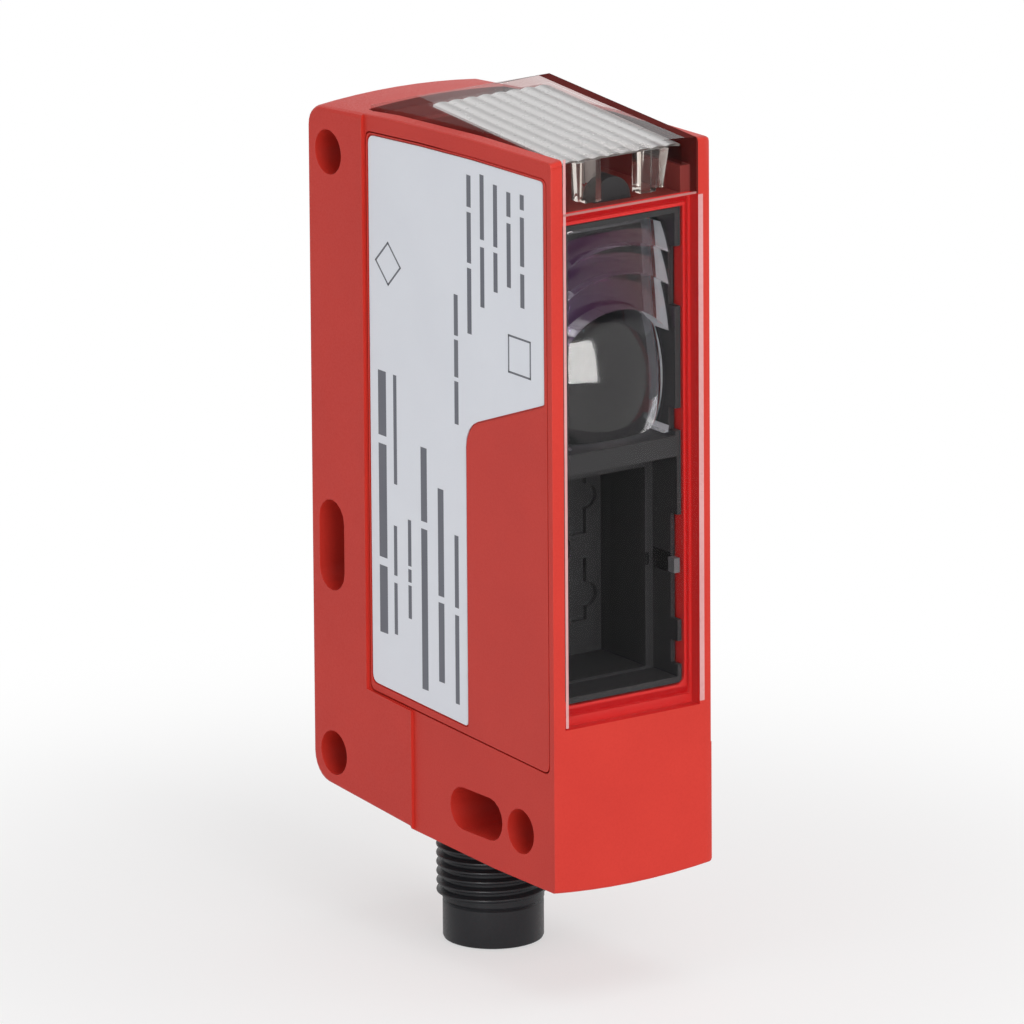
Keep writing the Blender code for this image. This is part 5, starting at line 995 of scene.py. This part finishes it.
def shows_white(nodes, links):
    """Value that is 1 for camera, transmission and glossy rays, and 0 for diffuse light."""
    ray = nodes.new("ShaderNodeLightPath")
    seen = nodes.new("ShaderNodeMath")
    seen.operation = "MAXIMUM"
    links.new(ray.outputs["Is Camera Ray"], seen.inputs[0])
    links.new(ray.outputs["Is Transmission Ray"], seen.inputs[1])
    mirrored = nodes.new("ShaderNodeMath")
    mirrored.operation = "MAXIMUM"
    links.new(seen.outputs["Value"], mirrored.inputs[0])
    links.new(ray.outputs["Is Glossy Ray"], mirrored.inputs[1])
    return mirrored.outputs["Value"]


floor_shape = bmesh.new()
bmesh.ops.create_circle(
    floor_shape, cap_ends=True, radius=1.6, segments=96,
    matrix=Matrix.Translation((WIDTH_MID, PLUG_Y, FLOOR_Z)),
)
floor_mesh = bpy.data.meshes.new("floor")
floor_shape.to_mesh(floor_mesh)
floor_shape.free()
floor = bpy.data.objects.new("floor", floor_mesh)
bpy.context.scene.collection.objects.link(floor)

sweep = bpy.data.materials.new("white sweep")
sweep.use_nodes = True
nodes, links = sweep.node_tree.nodes, sweep.node_tree.links
matt = nodes["Principled BSDF"]
matt.inputs["Base Color"].default_value = (0.86, 0.86, 0.86, 1.0)
matt.inputs["Roughness"].default_value = 0.9
matt.inputs["Specular IOR Level"].default_value = 0.1
bright = nodes.new("ShaderNodeEmission")
bright.inputs["Color"].default_value = (1.0, 1.0, 1.0, 1.0)
bright.inputs["Strength"].default_value = 1.0
place = nodes.new("ShaderNodeTexCoord")
under = nodes.new("ShaderNodeMapping")
under.inputs["Location"].default_value = (-WIDTH_MID * 8, -PLUG_Y * 8, 0.0)
under.inputs["Scale"].default_value = (8.0, 8.0, 0.0)
links.new(place.outputs["Object"], under.inputs["Vector"])
reach = nodes.new("ShaderNodeTexGradient")
reach.gradient_type = "SPHERICAL"
links.new(under.outputs["Vector"], reach.inputs["Vector"])
near = nodes.new("ShaderNodeMapRange")
near.interpolation_type = "SMOOTHERSTEP"
near.inputs["From Min"].default_value = 0.0
near.inputs["From Max"].default_value = 0.75
near.inputs["To Min"].default_value = 1.0
near.inputs["To Max"].default_value = 0.55
links.new(reach.outputs["Fac"], near.inputs["Value"])
amount = nodes.new("ShaderNodeMath")
amount.operation = "MULTIPLY"
links.new(shows_white(nodes, links), amount.inputs[0])
links.new(near.outputs["Result"], amount.inputs[1])
white = nodes.new("ShaderNodeMixShader")
links.new(amount.outputs["Value"], white.inputs[0])
links.new(matt.outputs["BSDF"], white.inputs[1])
links.new(bright.outputs["Emission"], white.inputs[2])
links.new(white.outputs["Shader"], nodes["Material Output"].inputs["Surface"])
floor.data.materials.append(sweep)

world = bpy.data.worlds.new("studio")
bpy.context.scene.world = world
world.use_nodes = True
nodes, links = world.node_tree.nodes, world.node_tree.links
air = nodes["Background"]
air.inputs["Color"].default_value = (1.0, 1.0, 1.0, 1.0)
level = nodes.new("ShaderNodeMapRange")
level.inputs["To Min"].default_value = 0.42
level.inputs["To Max"].default_value = 1.0
links.new(shows_white(nodes, links), level.inputs["Value"])
links.new(level.outputs["Result"], air.inputs["Strength"])

OBJECT_MIDDLE = Vector((-10.25, -18.0, -5.0)) * MM


def soft_box(name, azimuth, elevation, distance, width, height, power, diffuse=True):
    """Area lamp that faces the sensor from an angle: azimuth 0 is in front of the optics."""
    lamp = bpy.data.lights.new(name, "AREA")
    lamp.shape = "RECTANGLE"
    lamp.size = width
    lamp.size_y = height
    lamp.energy = power
    holder = bpy.data.objects.new(name, lamp)
    a, e = math.radians(azimuth), math.radians(elevation)
    away = Vector((math.sin(a) * math.cos(e), -math.cos(a) * math.cos(e), math.sin(e)))
    holder.location = OBJECT_MIDDLE + away * distance
    holder.rotation_euler = away.to_track_quat("Z", "Y").to_euler()
    holder.visible_diffuse = diffuse
    bpy.context.scene.collection.objects.link(holder)
    return holder


# The lens box makes the highlight on the lens and lights nothing else.
soft_box("front box", -8.0, 10.0, 0.9, 0.55, 0.95, 6.6)
soft_box("label box", -82.0, 25.0, 1.0, 0.6, 0.6, 1.0)
soft_box("top box", 20.0, 78.0, 0.9, 0.7, 0.7, 2.4)
lens_box = soft_box("lens box", -9.0, 9.0, 0.88, 0.50, 0.90, 34.0, diffuse=False)
lens_box.light_linking.receiver_collection = bpy.data.collections.new("lit by the lens box")
lens_box.light_linking.receiver_collection.objects.link(receiver_lens)
soft_box("side box", 87.0, 5.0, 0.6, 0.14, 0.18, 1.1, diffuse=False)
soft_box("edge box", -57.0, 8.0, 1.0, 0.25, 0.8, 10.0, diffuse=False)

VIEW_CENTRE = Vector((-12.5408, -21.7407, -2.8391)) * MM
VIEW_AZIMUTH, VIEW_ELEVATION, VIEW_ROLL = map(math.radians, (-34.8728, 15.2042, -0.4002))
VIEW_DISTANCE = 1.5
back = Vector((
    math.sin(VIEW_AZIMUTH) * math.cos(VIEW_ELEVATION),
    -math.cos(VIEW_AZIMUTH) * math.cos(VIEW_ELEVATION),
    math.sin(VIEW_ELEVATION),
))
level_right = Vector((math.cos(VIEW_AZIMUTH), math.sin(VIEW_AZIMUTH), 0.0))
level_up = back.cross(level_right)
right = level_right * math.cos(VIEW_ROLL) + level_up * math.sin(VIEW_ROLL)
up = level_up * math.cos(VIEW_ROLL) - level_right * math.sin(VIEW_ROLL)
lens = bpy.data.cameras.new("photo camera")
lens.sensor_width = 36.0
lens.lens = 506.2
lens.clip_start = 0.01
lens.clip_end = 10.0
camera = bpy.data.objects.new("photo camera", lens)
camera.matrix_world = Matrix((
    (right.x, up.x, back.x, 0.0), (right.y, up.y, back.y, 0.0),
    (right.z, up.z, back.z, 0.0), (0.0, 0.0, 0.0, 1.0),
))
camera.location = VIEW_CENTRE + back * VIEW_DISTANCE
bpy.context.scene.collection.objects.link(camera)
bpy.context.scene.camera = camera
bpy.context.scene.view_settings.view_transform = "Standard"
